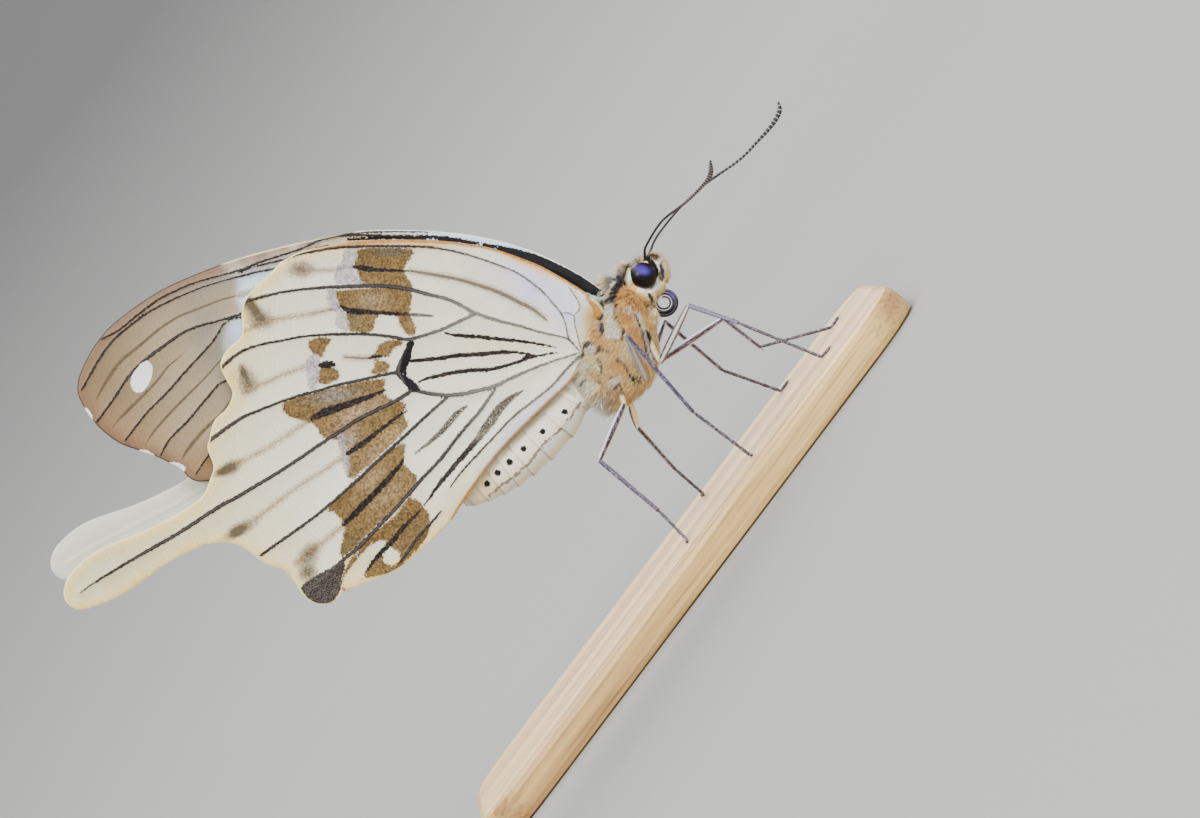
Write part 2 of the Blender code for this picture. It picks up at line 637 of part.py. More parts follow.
def main():
    for item in list(bpy.data.objects):
        bpy.data.objects.remove(item)
    finishes = {
        "wing": material("wing cream", (0.75, 0.70, 0.58), 0.6),
        "thorax": material("thorax hair", (0.75, 0.42, 0.16), 0.9),
        "abdomen": material("abdomen cream", (0.68, 0.62, 0.5), 0.8),
        "head": material("head hair", (0.55, 0.45, 0.32), 0.9),
        "eye": material("eye black", (0.01, 0.01, 0.02), 0.15),
        "antenna": material("antenna black", (0.02, 0.02, 0.02), 0.5),
        "proboscis": material("proboscis black", (0.02, 0.015, 0.02), 0.3),
        "leg": material("leg grey", (0.2, 0.18, 0.17), 0.6),
        "base": material("pale wood", (0.62, 0.48, 0.32), 0.5),
    }
    thorax_space, head_space = build_body(finishes)
    build_feelers(finishes, head_space)
    build_legs(finishes, thorax_space)
    build_wings(finishes, thorax_space)
    build_base(finishes["base"])


main()
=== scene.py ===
"""Looks of the mocker swallowtail model: scaled wings, haired body, ringed feelers, spined legs and base.

Places on the animal are given in the side plan of the solids, in millimetres from the root of the forewing:
u runs towards the head, v towards the costa of the wings, and level() turns both into the stance on the base.
Sizes in the settings are in metres.
"""
import math

import bmesh
import bpy
import numpy as np
from bpy.props import FloatProperty, FloatVectorProperty, PointerProperty
from mathutils import Matrix, Vector, geometry


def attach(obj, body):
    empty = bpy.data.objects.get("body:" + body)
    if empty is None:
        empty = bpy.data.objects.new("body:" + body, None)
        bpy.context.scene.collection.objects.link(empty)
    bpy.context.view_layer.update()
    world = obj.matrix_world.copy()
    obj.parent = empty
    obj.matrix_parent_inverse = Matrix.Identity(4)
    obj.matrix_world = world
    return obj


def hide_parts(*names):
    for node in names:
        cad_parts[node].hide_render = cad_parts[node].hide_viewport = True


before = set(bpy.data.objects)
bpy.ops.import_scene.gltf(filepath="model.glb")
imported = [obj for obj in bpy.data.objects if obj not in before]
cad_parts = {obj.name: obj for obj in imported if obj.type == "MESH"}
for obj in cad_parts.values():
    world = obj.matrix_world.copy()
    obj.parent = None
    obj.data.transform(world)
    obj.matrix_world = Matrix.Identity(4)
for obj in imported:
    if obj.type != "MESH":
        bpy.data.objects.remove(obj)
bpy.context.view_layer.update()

bl_info = {
    "name": "Mocker swallowtail looks",
    "version": (1, 0, 0),
    "blender": (4, 5, 0),
    "location": "View3D > Sidebar > Swallowtail",
    "description": "Builds the wings, coat, head, legs and setting of a still butterfly model",
    "category": "Object",
}

MM = 0.001
FAR = 99.0
TINY = 1e-9
MICRO = 1e-6

# Stance, as in the solids
CLIMB_ANGLE = math.radians(53.0)
ROOT_X = 15.8
ROOT_HEIGHT = 25.1
THORAX_CENTRE = (2.2, -5.5)
BODY_ANGLE = math.radians(56.4)
FOREWING_LAYER = 0.55
HINDWING_LAYER = 1.65
WING_ROOT_SPREAD = 1.2
WING_ROOT_FADE = 6.0
ANAL_SPREAD = 1.0
ANAL_FADE = 3.5
LEFT_HINDWING_LIFT = math.radians(3.0)

# Outlines and marks of the wings: u and v, and half widths of lines, in millimetres
FOREWING_OUTLINE = [
    (0.2, 0.1), (-1.8, 1.5), (-4.8, 3.1), (-7.8, 4.3), (-11.8, 5.3), (-15.8, 5.8), (-19.8, 5.95),
    (-23.8, 5.85), (-27.8, 5.1), (-31.8, 4.2), (-35.8, 3.1), (-39.8, 1.65), (-43.8, -0.2), (-47.8, -3),
    (-49.8, -5.1), (-51.3, -7.7), (-51.85, -9.8), (-51.3, -11.5), (-49.8, -13.6), (-47.8, -15.2),
    (-45.8, -16), (-43.8, -16.7), (-41.8, -17.7), (-39, -19.1), (-29.8, -15.9), (-19.8, -11.9), (-9.8, -7.7),
    (-2.3, -5), (0.4, -4), (1.4, -2.2), (1.1, -0.7),
]
HINDWING_OUTLINE = [
    (-1, -0.5), (-2.3, 0.4), (-3.8, 1.3), (-5.8, 2.4), (-7.8, 3.2), (-9.8, 3.9), (-11.8, 4.4), (-15.8, 4.9),
    (-19.8, 5), (-23.8, 4.85), (-27.8, 4.2), (-29.8, 3.7), (-31.5, 2.8), (-32.8, 1.5), (-34.3, 0.1),
    (-35.2, -1.1), (-35.5, -2.5), (-35.5, -4.5), (-37, -6), (-37.6, -7.5), (-37, -9), (-36.4, -10.3),
    (-37, -11.8), (-38.2, -13), (-38.7, -14.8), (-38.9, -15.8), (-38.3, -17.5), (-38.6, -18.7),
    (-39.3, -20.3), (-40.8, -21.6), (-44.8, -23.8), (-49.8, -25.9), (-52.3, -28), (-53.1, -29.5),
    (-53, -30.9), (-51.8, -31.8), (-49.8, -31.4), (-46.8, -30), (-43.3, -27.5), (-40.8, -26.1),
    (-38.3, -25.2), (-35.8, -25.4), (-33.3, -27.2), (-31.8, -27.7), (-30.8, -28.2), (-29.5, -30.3),
    (-28, -31.3), (-26.3, -31.1), (-25.3, -30.1), (-22.8, -29), (-20, -27.8), (-17, -25.3), (-14.6, -22.8),
    (-12.8, -20), (-9.8, -16), (-5.8, -11.9), (-2.8, -9), (-0.8, -6.2), (0.6, -4.8), (0.7, -2.8),
    (0.1, -1.4),
]
# u, v, radius along the abdomen
ABDOMEN_LINE = [
    (-1.6, -8.8, 1.9), (-2.3, -10, 2.1), (-3, -11.3, 2.25), (-3.8, -12.7, 2.35), (-5.2, -14.3, 2.4),
    (-6.8, -15.9, 2.4), (-8.5, -17.4, 2.3), (-10.1, -18.7, 2.05), (-11.6, -19.8, 1.7), (-12.7, -20.7, 1.2),
    (-13.4, -21.3, 0.6),
]
HINDWING_VEINS = {
    "subcostal": [
        (-2, -6, 0.05), (-3, -4.8, 0.06), (-3.3, -3.5, 0.06), (-3.8, -2.3, 0.07), (-4.8, -1.1, 0.07),
        (-5.8, 0, 0.08), (-7.8, 1.5, 0.08), (-9.8, 2.4, 0.09), (-11.8, 3.1, 0.09), (-13.8, 3.7, 0.1),
        (-15.8, 4.1, 0.11), (-17.8, 4.3, 0.12), (-21.8, 4.35, 0.13), (-25.8, 4.2, 0.13), (-27.8, 3.9, 0.12),
        (-29.8, 3.5, 0.1), (-31.3, 3, 0.08),
    ],
    "humeral": [(-1.8, -5.8, 0.05), (-2.4, -3.5, 0.05), (-2.6, -2.5, 0.05), (-3.6, -2.2, 0.05)],
    "humeral spur": [(-2.6, -2.5, 0.05), (-1.9, -1.6, 0.05), (-3, 0.3, 0.04)],
    "radial sector": [
        (-2.2, -5.7, 0.05), (-3.3, -4.8, 0.07), (-5.8, -4.2, 0.11), (-7.8, -3.6, 0.13), (-9.8, -3.1, 0.15),
        (-12.3, -2.3, 0.17), (-14.8, -1, 0.17), (-16.8, -0.5, 0.18), (-18.6, 0, 0.2), (-19.8, 0.2, 0.2),
        (-21.8, 0.4, 0.2), (-25.8, 0.3, 0.19), (-27.8, 0.2, 0.14), (-29.8, 0, 0.13), (-31.8, -0.3, 0.13),
        (-33.8, -0.8, 0.15), (-35.2, -1.2, 0.16),
    ],
    "first medial": [
        (-12.3, -2.4, 0.15), (-14.3, -3.3, 0.16), (-15.8, -4, 0.16), (-18.8, -4.9, 0.16),
        (-19.8, -4.8, 0.16), (-21.8, -4.5, 0.15), (-23.8, -4.4, 0.15), (-25.8, -4.4, 0.14),
        (-27.8, -4.5, 0.12), (-29.8, -4.7, 0.12), (-31.8, -5.1, 0.12), (-33.8, -5.5, 0.13),
        (-35.8, -6.3, 0.15), (-37.6, -7.8, 0.18),
    ],
    "cell end": [
        (-18.6, -4.9, 0.2), (-19.1, -6.2, 0.32), (-19.6, -7.2, 0.32), (-19.9, -8.2, 0.3), (-19.3, -9, 0.28),
        (-18.5, -9.9, 0.2),
    ],
    "second medial": [
        (-20, -8.2, 0.16), (-21.8, -8.5, 0.16), (-23.8, -9, 0.16), (-25.8, -9.4, 0.15), (-27.8, -10, 0.14),
        (-29.8, -10.5, 0.13), (-31.8, -11.2, 0.13), (-33.8, -12, 0.14), (-35.8, -12.9, 0.17),
        (-38.7, -15, 0.2),
    ],
    "third medial": [
        (-18.5, -9.9, 0.2), (-19.8, -10.8, 0.2), (-21.8, -11.8, 0.2), (-23.8, -12.8, 0.2),
        (-25.8, -14.1, 0.19), (-27.8, -15.4, 0.18), (-29.8, -16.8, 0.18), (-31.8, -18.1, 0.18),
        (-33.8, -19.3, 0.18), (-35.8, -20.5, 0.19), (-37.8, -21.6, 0.2), (-41.8, -24.2, 0.19),
        (-45.8, -26.5, 0.16), (-49.8, -28.9, 0.11), (-51.5, -30.1, 0.03),
    ],
    "cell floor": [
        (-18.8, -9.9, 0.18), (-14.9, -10.5, 0.2), (-10.8, -9.7, 0.19), (-8.8, -8.8, 0.16),
        (-5.8, -7.5, 0.11), (-2.2, -6.3, 0.06),
    ],
    "first cubital": [
        (-14.9, -10.5, 0.15), (-15.8, -11.3, 0.15), (-17.8, -13.1, 0.16), (-19.8, -15, 0.17),
        (-21.8, -16.8, 0.17), (-23.8, -18.7, 0.17), (-25.8, -20.5, 0.16), (-27.8, -22.2, 0.15),
        (-29.8, -23.7, 0.15), (-31.8, -25.1, 0.15), (-33.6, -26.4, 0.14),
    ],
    "second cubital": [
        (-10.3, -9.8, 0.15), (-11.8, -12, 0.16), (-13.8, -14.3, 0.17), (-15.8, -16.9, 0.17),
        (-17.8, -19, 0.18), (-19.8, -21.3, 0.2), (-21.8, -23.4, 0.21), (-23.8, -25.5, 0.21),
        (-25.8, -27.2, 0.19), (-27.8, -29.3, 0.17), (-29, -30.5, 0.15),
    ],
    "anal": [
        (-1.8, -6.5, 0.13), (-3.1, -7.7, 0.12), (-5, -9.8, 0.11), (-8.3, -12.4, 0.11), (-11, -15.2, 0.1),
        (-13.6, -18, 0.09), (-14.8, -19.6, 0.06),
    ],
    "anal tip": [
        (-15.7, -22, 0.08), (-16.8, -23.3, 0.13), (-18.3, -25, 0.15), (-19.3, -26.5, 0.15),
        (-19.9, -27.2, 0.12),
    ],
}
HINDWING_STREAKS = {
    "cell upper": [
        (-15.3, -4.3, 0.06), (-14.3, -4.5, 0.17), (-11.8, -4.7, 0.2), (-9.8, -4.9, 0.18), (-7.8, -5.1, 0.17),
        (-5.8, -5.4, 0.12), (-4.2, -5.7, 0.03),
    ],
    "cell middle": [
        (-19, -7.1, 0.12), (-17.8, -7, 0.2), (-15.8, -6.8, 0.22), (-13.8, -6.5, 0.22), (-11.8, -6.4, 0.22),
        (-9.8, -6.2, 0.2), (-8.3, -6.2, 0.15), (-6.6, -6.4, 0.04),
    ],
    "cell lower": [
        (-18, -9.3, 0.05), (-17.4, -8.9, 0.16), (-14.8, -8.3, 0.22), (-12.8, -8, 0.23), (-10.8, -7.9, 0.2),
        (-8.8, -7.4, 0.18), (-6.8, -6.7, 0.16), (-5.3, -6.4, 0.12), (-4.1, -6.2, 0.03),
    ],
    "above radial": [
        (-18.7, 1.9, 0.06), (-19.8, 1.9, 0.12), (-22.3, 2, 0.24), (-23.6, 2.2, 0.27), (-24.4, 2.3, 0.12),
    ],
    "below radial": [
        (-16.5, -2.6, 0.06), (-17.8, -2.5, 0.13), (-19.8, -2.4, 0.18), (-21.8, -2.3, 0.2),
        (-23.3, -2.2, 0.28), (-24.8, -2.1, 0.3), (-25.7, -1.6, 0.1),
    ],
    "medial blot": [(-21.2, -6.6, 0.04), (-22, -6.6, 0.2), (-22.8, -6.8, 0.1)],
    "inner medial blot": [(-26.2, -7.4, 0.1), (-26.8, -7.4, 0.36), (-27.6, -7.5, 0.3), (-27.9, -7.6, 0.1)],
    "medial": [
        (-21.2, -10, 0.08), (-22.3, -10.4, 0.2), (-23.3, -10.8, 0.28), (-25.3, -11.5, 0.36),
        (-27.3, -12.2, 0.42), (-28.6, -12.8, 0.2),
    ],
    "cubital fork": [
        (-19.1, -12, 0.06), (-20, -12.6, 0.17), (-21.8, -14, 0.22), (-23.8, -15.5, 0.3), (-25, -16.3, 0.2),
    ],
    "cubital": [
        (-19.4, -16.9, 0.08), (-20, -17.7, 0.22), (-21.8, -19.7, 0.3), (-23.8, -21.8, 0.32),
        (-25.4, -23.4, 0.18),
    ],
    "anal": [
        (-17.8, -22, 0.1), (-19.3, -23.5, 0.22), (-20.8, -25.3, 0.26), (-22, -26.5, 0.24),
        (-23.2, -28.1, 0.1),
    ],
    "basal": [
        (-7.6, -10, 0.08), (-8.8, -10.8, 0.26), (-9.8, -11.7, 0.4), (-10.8, -13.1, 0.44),
        (-11.8, -14.5, 0.36), (-12.8, -15.7, 0.28), (-14.8, -18, 0.24), (-16, -19.5, 0.2),
        (-17.4, -21.5, 0.06),
    ],
    "basal upper": [
        (-13.1, -11.5, 0.06), (-14.2, -12.4, 0.26), (-15.2, -13.6, 0.26), (-16.2, -14.6, 0.2),
        (-17.4, -15.6, 0.12), (-18.3, -16.3, 0.04),
    ],
}
HINDWING_BROWN_LINES = {
    "costal": [
        (-5.2, -3, 0.05), (-6.6, -1.9, 0.15), (-7.8, -1.3, 0.17), (-9.8, -0.3, 0.17), (-11.8, 0.4, 0.16),
        (-13.8, 1, 0.15), (-15.8, 1.4, 0.14), (-18.8, 1.9, 0.1),
    ],
    "costal outer": [(-24.4, 2.3, 0.12), (-26.3, 2, 0.08), (-28.8, 1.9, 0.05)],
    "radial outer": [
        (-25.6, -1.6, 0.2), (-26.8, -2, 0.12), (-27.8, -2.2, 0.1), (-29.8, -2.6, 0.09), (-32.8, -3.1, 0.12),
        (-35.3, -4.1, 0.05),
    ],
    "medial inner": [(-22, -6.6, 0.1), (-23.3, -6.8, 0.1), (-25.3, -6.7, 0.06)],
    "medial outer": [
        (-28.3, -7.2, 0.12), (-29.3, -7.7, 0.09), (-31.3, -8.4, 0.08), (-33.3, -9.3, 0.12),
        (-35.3, -10.2, 0.06),
    ],
    "second outer": [
        (-28.6, -12.8, 0.14), (-29.6, -13.5, 0.08), (-31.8, -15, 0.07), (-33.8, -16.2, 0.07),
        (-35.8, -17.2, 0.08),
    ],
    "third outer": [
        (-25, -16.3, 0.14), (-26.8, -17.6, 0.08), (-29.8, -19.5, 0.08), (-31.8, -21, 0.08),
        (-34, -22.7, 0.1),
    ],
    "cubital outer": [(-25.4, -23.4, 0.16), (-27.3, -25, 0.12), (-28, -25.5, 0.2), (-30, -27.2, 0.2)],
}
HINDWING_BROWN = {
    "costal": [
        (-23.8, 4.1), (-18.6, 4.1), (-19, 2.8), (-19.4, 1.8), (-18.6, 0.1), (-23.2, 0.5), (-23.8, 1),
        (-24.1, 2), (-24.4, 2.5), (-24, 3.4),
    ],
    "radial": [
        (-26.2, -0.1), (-26.3, -0.6), (-25.8, -1.5), (-25.2, -2), (-25.1, -3), (-24.8, -4.1), (-22.6, -4.1),
        (-22, -2.7), (-20.2, -2.6), (-19.8, -3.5), (-19, -4.5), (-18.2, -4.3), (-18.5, -3), (-18.8, -2.3),
        (-18.8, 0), (-21.8, 0.2),
    ],
    "medial band": [
        (-19.8, -5), (-19.5, -5.4), (-20, -5.6), (-20.5, -6), (-20.9, -6.6), (-21.8, -6.7), (-22.7, -6.8),
        (-22.2, -6.2), (-21.9, -5.5), (-21.2, -5.1), (-20.6, -4.95),
    ],
    "medial band foot": [
        (-22.4, -7.2), (-21.8, -7.05), (-21, -7.2), (-20.8, -7.8), (-21.2, -8.2), (-22, -8.4), (-22.6, -8.3),
        (-22.7, -8), (-22.3, -7.6),
    ],
    "medial spot": [(-29, -5.4), (-28.3, -4.8), (-26.6, -4.8), (-27.1, -5.7), (-27.6, -6.8), (-28.5, -6.2)],
    "medial spot lower": [(-28.3, -9), (-27.6, -7.8), (-26.8, -7.6), (-26, -8), (-25.8, -8.8), (-27.3, -9.4)],
    "second": [
        (-31.5, -11.5), (-30.8, -10.9), (-28.8, -10.3), (-26.3, -9.7), (-21.3, -8.8), (-21, -10.7),
        (-19.8, -11.2), (-24.8, -14.2), (-27.3, -14.8), (-28.3, -13.4), (-30.8, -12.6),
    ],
    "third": [
        (-25.8, -14.3), (-19.6, -11.2), (-19.5, -12.5), (-19, -13.6), (-21.8, -16.5), (-24.8, -18.8),
        (-25, -17), (-25.6, -15.5),
    ],
    "cubital": [
        (-26.8, -21.3), (-19.8, -15.3), (-19.4, -17.3), (-18, -19.4), (-21.8, -23.2), (-25.6, -26.7),
        (-25.3, -23.7), (-26.2, -22.2),
    ],
    "anal": [
        (-18.6, -20.7), (-17, -22.2), (-16.8, -23.5), (-17.4, -25), (-19.4, -27.2), (-20.6, -28.2),
        (-23.2, -28.7), (-25.1, -30), (-25.7, -29.5), (-25.5, -28.2), (-24.3, -26.2), (-22.6, -24.3),
        (-20.6, -22.8),
    ],
}
HINDWING_CREAM = {
    "radial": [(-22, -2.6), (-20.1, -2.6), (-20, -3.6), (-20.8, -4.3), (-21.8, -4.4)],
    "medial": [
        (-21.4, -10.2), (-21.2, -9.2), (-20.4, -8.7), (-19.5, -8.9), (-19, -9.8), (-19.5, -10.6),
        (-20.5, -10.8),
    ],
    "anal upper": [
        (-21.1, -25.1), (-22.3, -25.1), (-23.8, -26.5), (-25.1, -28.2), (-25.5, -29.5), (-24.8, -29.8),
        (-23.6, -29), (-23.1, -27.8), (-22, -26.3),
    ],
    "anal round": [
        (-20.7, -25.7), (-19.9, -26.1), (-19.8, -26.8), (-20.5, -27.5), (-21.3, -27.1), (-21.5, -26.3),
    ],
}
PATCH_BROWN = (157, 123, 80)
PATCH_WASHES = {
    "radial grey": (-22.6, -1.1, 1.9, 1, 0, 0.95, (182, 164, 142)),
    "costal lens": (-20.8, 3.75, 2, 0.35, 0, 0.85, (112, 104, 108)),
    "radial lower": (-24.6, -3.2, 1.4, 0.8, 0, 0.7, (150, 132, 98)),
    "costal edge": (-23.4, 3, 0.5, 1.5, 0, 0.5, (132, 106, 66)),
    "medial spot": (-23.2, -6.2, 1.6, 1.3, 0, 0.8, (176, 146, 98)),
    "second grey": (-26.3, -10.5, 2.7, 0.9, 0.14, 0.95, (166, 160, 158)),
    "second rose": (-23.9, -12, 2.5, 1.1, 0.4, 0.9, (188, 168, 150)),
    "third outer": (-24.7, -14.8, 1.1, 1.7, 0.1, 0.95, (186, 172, 156)),
    "third pale": (-21, -14.4, 2, 1.2, 0.7, 0.85, (188, 166, 134)),
    "third lower": (-22.3, -16.5, 1.1, 0.6, 0.8, 0.8, (184, 164, 140)),
    "cubital pale": (-22.7, -18.9, 2.4, 0.9, 0.8, 0.9, (192, 170, 146)),
    "cubital lower": (-20.9, -20.2, 2.2, 0.8, 0.8, 0.85, (186, 164, 138)),
    "cubital dark": (-25, -25.6, 1.4, 1, 0.8, 0.6, (124, 96, 56)),
    "anal dark": (-18, -24.5, 1, 2.4, -0.6, 0.5, (128, 98, 54)),
}
HINDWING_GREY = {
    "costal": [
        (-25.3, 4), (-25.6, 2.8), (-26.2, 2.2), (-26.3, 1.2), (-26.1, 0.6), (-23.3, 0.5), (-24.2, 1.5),
        (-24.5, 2.4), (-24, 3.8),
    ],
    "radial": [
        (-27, 0), (-27.1, -1), (-26.6, -1.8), (-26.1, -2.5), (-26.2, -3.5), (-25.3, -4.1), (-24.8, -4.1),
        (-25.2, -2.2), (-26, -1.3), (-26.2, -0.1),
    ],
    "medial": [(-29, -6.8), (-27.8, -6.6), (-28, -9.8), (-28.9, -9.6)],
    "outer third": [(-26, -14.6), (-25.3, -14.4), (-24.8, -18), (-25.2, -18.5)],
}
HINDWING_DARK = {
    "anal blotch": [
        (-29.6, -29.5), (-28.3, -28.5), (-26.8, -27.7), (-25.2, -27), (-25.5, -28.5), (-25.8, -30.2),
        (-26.8, -31.2), (-28.3, -31.3), (-29.3, -30.3),
    ],
    "cell end": [
        (-19, -5.1), (-19.3, -6), (-19.6, -6.8), (-19.8, -8), (-19.4, -8.9), (-18.8, -9.9), (-18.2, -10.1),
        (-17.7, -9.8), (-18.4, -9.1), (-19, -8.6), (-19.1, -7.8), (-18.7, -7), (-18.6, -6), (-18.3, -5.2),
    ],
}
HINDWING_SMUDGES = {
    "subcostal": (-29.6, 2, 1.56, 1, 0),
    "radial": (-33.6, -3, 1.5, 1.12, 0),
    "medial": (-34.9, -9.3, 1.12, 1.38, 0),
    "second": (-36.5, -17.7, 1.35, 0.8, 0.5),
    "third": (-35.5, -23.7, 2.12, 0.75, 0.5),
    "third core": (-36, -24.1, 0.75, 0.38, 0.5),
    "cubital": (-28.8, -26.2, 1.5, 1, 0.8),
    "anal haze": (-28.9, -28.2, 1.1, 0.9, 0.4),
    "corner": (-35.1, -1.1, 0.62, 1, 0),
    "radial wing": (-34.3, -1.7, 0.5, 0.9, 0.5),
    "medial wing": (-35.4, -8, 0.4, 0.7, 0.35),
    "second wing": (-37.4, -18, 1.1, 0.36, 0.5),
}
# Where the black streaks thin out into single scales: centre, two radii and turn
SPARSE_STREAKS = ((-15, -13.6, 3.4, 1.2, 0.85), (-10.2, -12, 3.2, 1, 0.85), (-17.4, -2.6, 1.6, 0.6, 0))
FOREWING_VEINS = {
    "radius": [
        (-1.8, 0.9, 0.06), (-3.8, 1.8, 0.08), (-9.8, 3.7, 0.1), (-15.8, 4.6, 0.12), (-21.8, 5.4, 0.12),
        (-26.8, 5.2, 0.12), (-29.8, 4, 0.1), (-33.8, 2.7, 0.1), (-35.8, 1.9, 0.12), (-39.8, 0.8, 0.13),
        (-41.8, 0, 0.14), (-43.8, -1, 0.15), (-45.8, -2.5, 0.16), (-47.8, -4.1, 0.15), (-49.8, -5.1, 0.12),
    ],
    "fourth radial": [
        (-24, 3.2, 0.1), (-27.8, 2.8, 0.1), (-31.8, 2.2, 0.1), (-35.8, 1.3, 0.1), (-39.8, 0.1, 0.12),
        (-43.8, -1.7, 0.15), (-45.8, -3, 0.15), (-47.8, -4.6, 0.16), (-49.2, -6.2, 0.17),
        (-50.4, -8.2, 0.17), (-51.4, -10, 0.14),
    ],
    "first medial": [
        (-21.8, 0, 0.14), (-26.8, -0.6, 0.14), (-31.8, -1.4, 0.14), (-35.5, -2.4, 0.14), (-37.8, -3.1, 0.14),
        (-40.8, -4, 0.17), (-43.8, -6, 0.2), (-45.8, -7.6, 0.19), (-47, -9, 0.17), (-48.3, -11, 0.16),
        (-50, -13.3, 0.15),
    ],
    "second medial": [
        (-21, -3.4, 0.14), (-26.8, -3.2, 0.14), (-31.8, -2.9, 0.14), (-36.6, -2.9, 0.13),
        (-38.4, -5.2, 0.14), (-40.8, -7.8, 0.15), (-42.8, -10.1, 0.15), (-44.8, -12.1, 0.15),
        (-46, -13.6, 0.14), (-47.1, -15, 0.13),
    ],
    "third medial": [
        (-20.3, -7.2, 0.14), (-26.8, -8, 0.14), (-31.8, -8, 0.14), (-37, -9, 0.14), (-38.8, -10.6, 0.15),
        (-40.8, -13, 0.16), (-42.6, -14.8, 0.15), (-43.6, -16.5, 0.12),
    ],
    "cubital": [
        (-16.8, -9.5, 0.14), (-26.8, -11.5, 0.14), (-33.8, -12.4, 0.14), (-37.5, -14, 0.14),
        (-38.7, -16.3, 0.14), (-39.4, -17.3, 0.13), (-40.1, -18.4, 0.1),
    ],
    "cell": [
        (-1, -1.5, 0.1), (-5.8, 0.2, 0.14), (-12.8, 1.2, 0.14), (-21.8, 0, 0.14), (-21, -3.4, 0.14),
        (-20.3, -7.2, 0.14), (-16.8, -9.5, 0.14), (-9.8, -6.4, 0.14), (-1.5, -3.4, 0.1),
    ],
    "anal": [
        (-1.5, -3.9, 0.1), (-9.8, -7.2, 0.14), (-19.8, -11.2, 0.14), (-29.8, -15, 0.14), (-37.5, -18, 0.1),
    ],
    "costal line": [
        (-15.8, 5.75, 0.07), (-19.8, 5.8, 0.09), (-23.8, 5.7, 0.09), (-26.8, 5.35, 0.08),
        (-29.8, 4.65, 0.06),
    ],
    "costal stripe": [
        (-26.8, 4.4, 0.06), (-27.8, 4.2, 0.08), (-29.8, 3.6, 0.08), (-31.3, 3, 0.09), (-33.8, 2.4, 0.09),
        (-35.8, 1.7, 0.07),
    ],
}
FOREWING_BROWN_LINES = {
    "radial": [
        (-33.6, 0, 0.08), (-36, -0.6, 0.16), (-37.8, -1.1, 0.17), (-39.8, -1.9, 0.18), (-41.8, -2.7, 0.2),
        (-43.8, -4, 0.21), (-45.8, -5.7, 0.24), (-47.6, -7.2, 0.26), (-49, -9.2, 0.26), (-50, -11, 0.12),
    ],
    "first medial": [
        (-40.8, -5.8, 0.05), (-41.8, -6.8, 0.13), (-42.8, -7.6, 0.17), (-43.8, -8.9, 0.2),
        (-44.8, -10, 0.22), (-46.8, -12, 0.24), (-47.8, -13, 0.16), (-48.5, -13.9, 0.08),
    ],
    "second medial": [
        (-35.8, -5.5, 0.05), (-37.4, -6.8, 0.15), (-39.2, -8.8, 0.18), (-41.8, -11.4, 0.21),
        (-43.3, -13, 0.2), (-44.6, -14.6, 0.17), (-45.1, -15.6, 0.06),
    ],
    "third medial": [
        (-35.3, -9.5, 0.1), (-36.4, -10.8, 0.2), (-37.6, -12.4, 0.24), (-39.3, -14, 0.26),
        (-40.8, -15.8, 0.26), (-41.5, -16.9, 0.12),
    ],
}
FOREWING_WHITE = {
    "spot": [
        (-46.1, -10.2), (-46.55, -9.6), (-46.5, -8.8), (-46, -7.9), (-45.3, -7.2), (-44.8, -7.1),
        (-44.4, -7.7), (-44.5, -8.7), (-44.9, -9.6), (-45.5, -10.2),
    ],
    "first crescent": [(-51.2, -11.7), (-50.9, -11.8), (-50.4, -12.4), (-50, -13.1), (-50.8, -12.6)],
    "second crescent": [(-45.8, -16), (-45.2, -15.9), (-44.4, -16.3), (-44.2, -16.7), (-45.1, -16.6)],
    "third crescent": [(-42.8, -17.2), (-42, -17.2), (-41.2, -17.6), (-41.1, -18.1), (-42.1, -17.8)],
}

# Colours of the wings, as 8 bit sRGB: soft washes are centre u and v, two radii, turn, strength and colour
HINDWING_GROUND = (212, 210, 203)
HINDWING_WASHES = {
    "outer margin": (-38, -6, 5, 13, 0, 0.5, (216, 204, 180)),
    "lower margin": (-34, -27, 8, 4, 0.6, 0.5, (214, 204, 178)),
    "tail root": (-41, -22, 5, 4, 0.6, 0.55, (212, 203, 178)),
    "tail": (-48, -27.5, 8, 3.4, 0.55, 0.75, (206, 199, 174)),
    "tail lower edge": (-45, -29, 6, 1.1, 0.6, 0.5, (204, 180, 128)),
    "cool middle": (-22, -18, 12, 4, 0.75, 0.35, (218, 220, 224)),
    "costal lilac": (-6.5, 0.5, 4.5, 2.2, -0.6, 0.7, (205, 204, 222)),
    "humeral blue": (-3.2, -2.5, 1.6, 2.6, 0, 0.6, (206, 209, 220)),
    "inner lilac": (-8.6, -14.9, 9, 0.8, 0.86, 0.9, (196, 196, 212)),
    "inner cream": (-14, -21, 5, 1.6, 0.9, 0.5, (214, 202, 176)),
    "costal band": (-23, 4.5, 9, 0.35, 0, 0.8, (207, 160, 116)),
    "costal band root": (-8, 3.1, 6, 0.3, -0.42, 0.75, (220, 172, 118)),
    "root lobe": (-0.4, -3.4, 1, 1.9, 0, 0.9, (192, 148, 84)),
    "cell warmth": (-11, -5.6, 5, 1.1, 0, 0.35, (218, 206, 184)),
    "anal cream": (-24, -27.5, 2.2, 1.6, 0.8, 0.7, (214, 202, 172)),
    "first notch": (-36.9, -0.6, 1.2, 1, 0.3, 0.5, (214, 180, 138)),
    "second notch": (-37.4, -5.6, 1.3, 0.7, 0.2, 0.5, (216, 184, 142)),
    "third notch": (-37, -8.6, 1.2, 0.8, 0, 0.5, (214, 180, 138)),
    "fourth notch": (-38.2, -14, 1.2, 0.8, 0.4, 0.45, (218, 188, 148)),
    "fifth notch": (-38.9, -18.2, 1.4, 0.9, 0.4, 0.45, (218, 188, 148)),
}
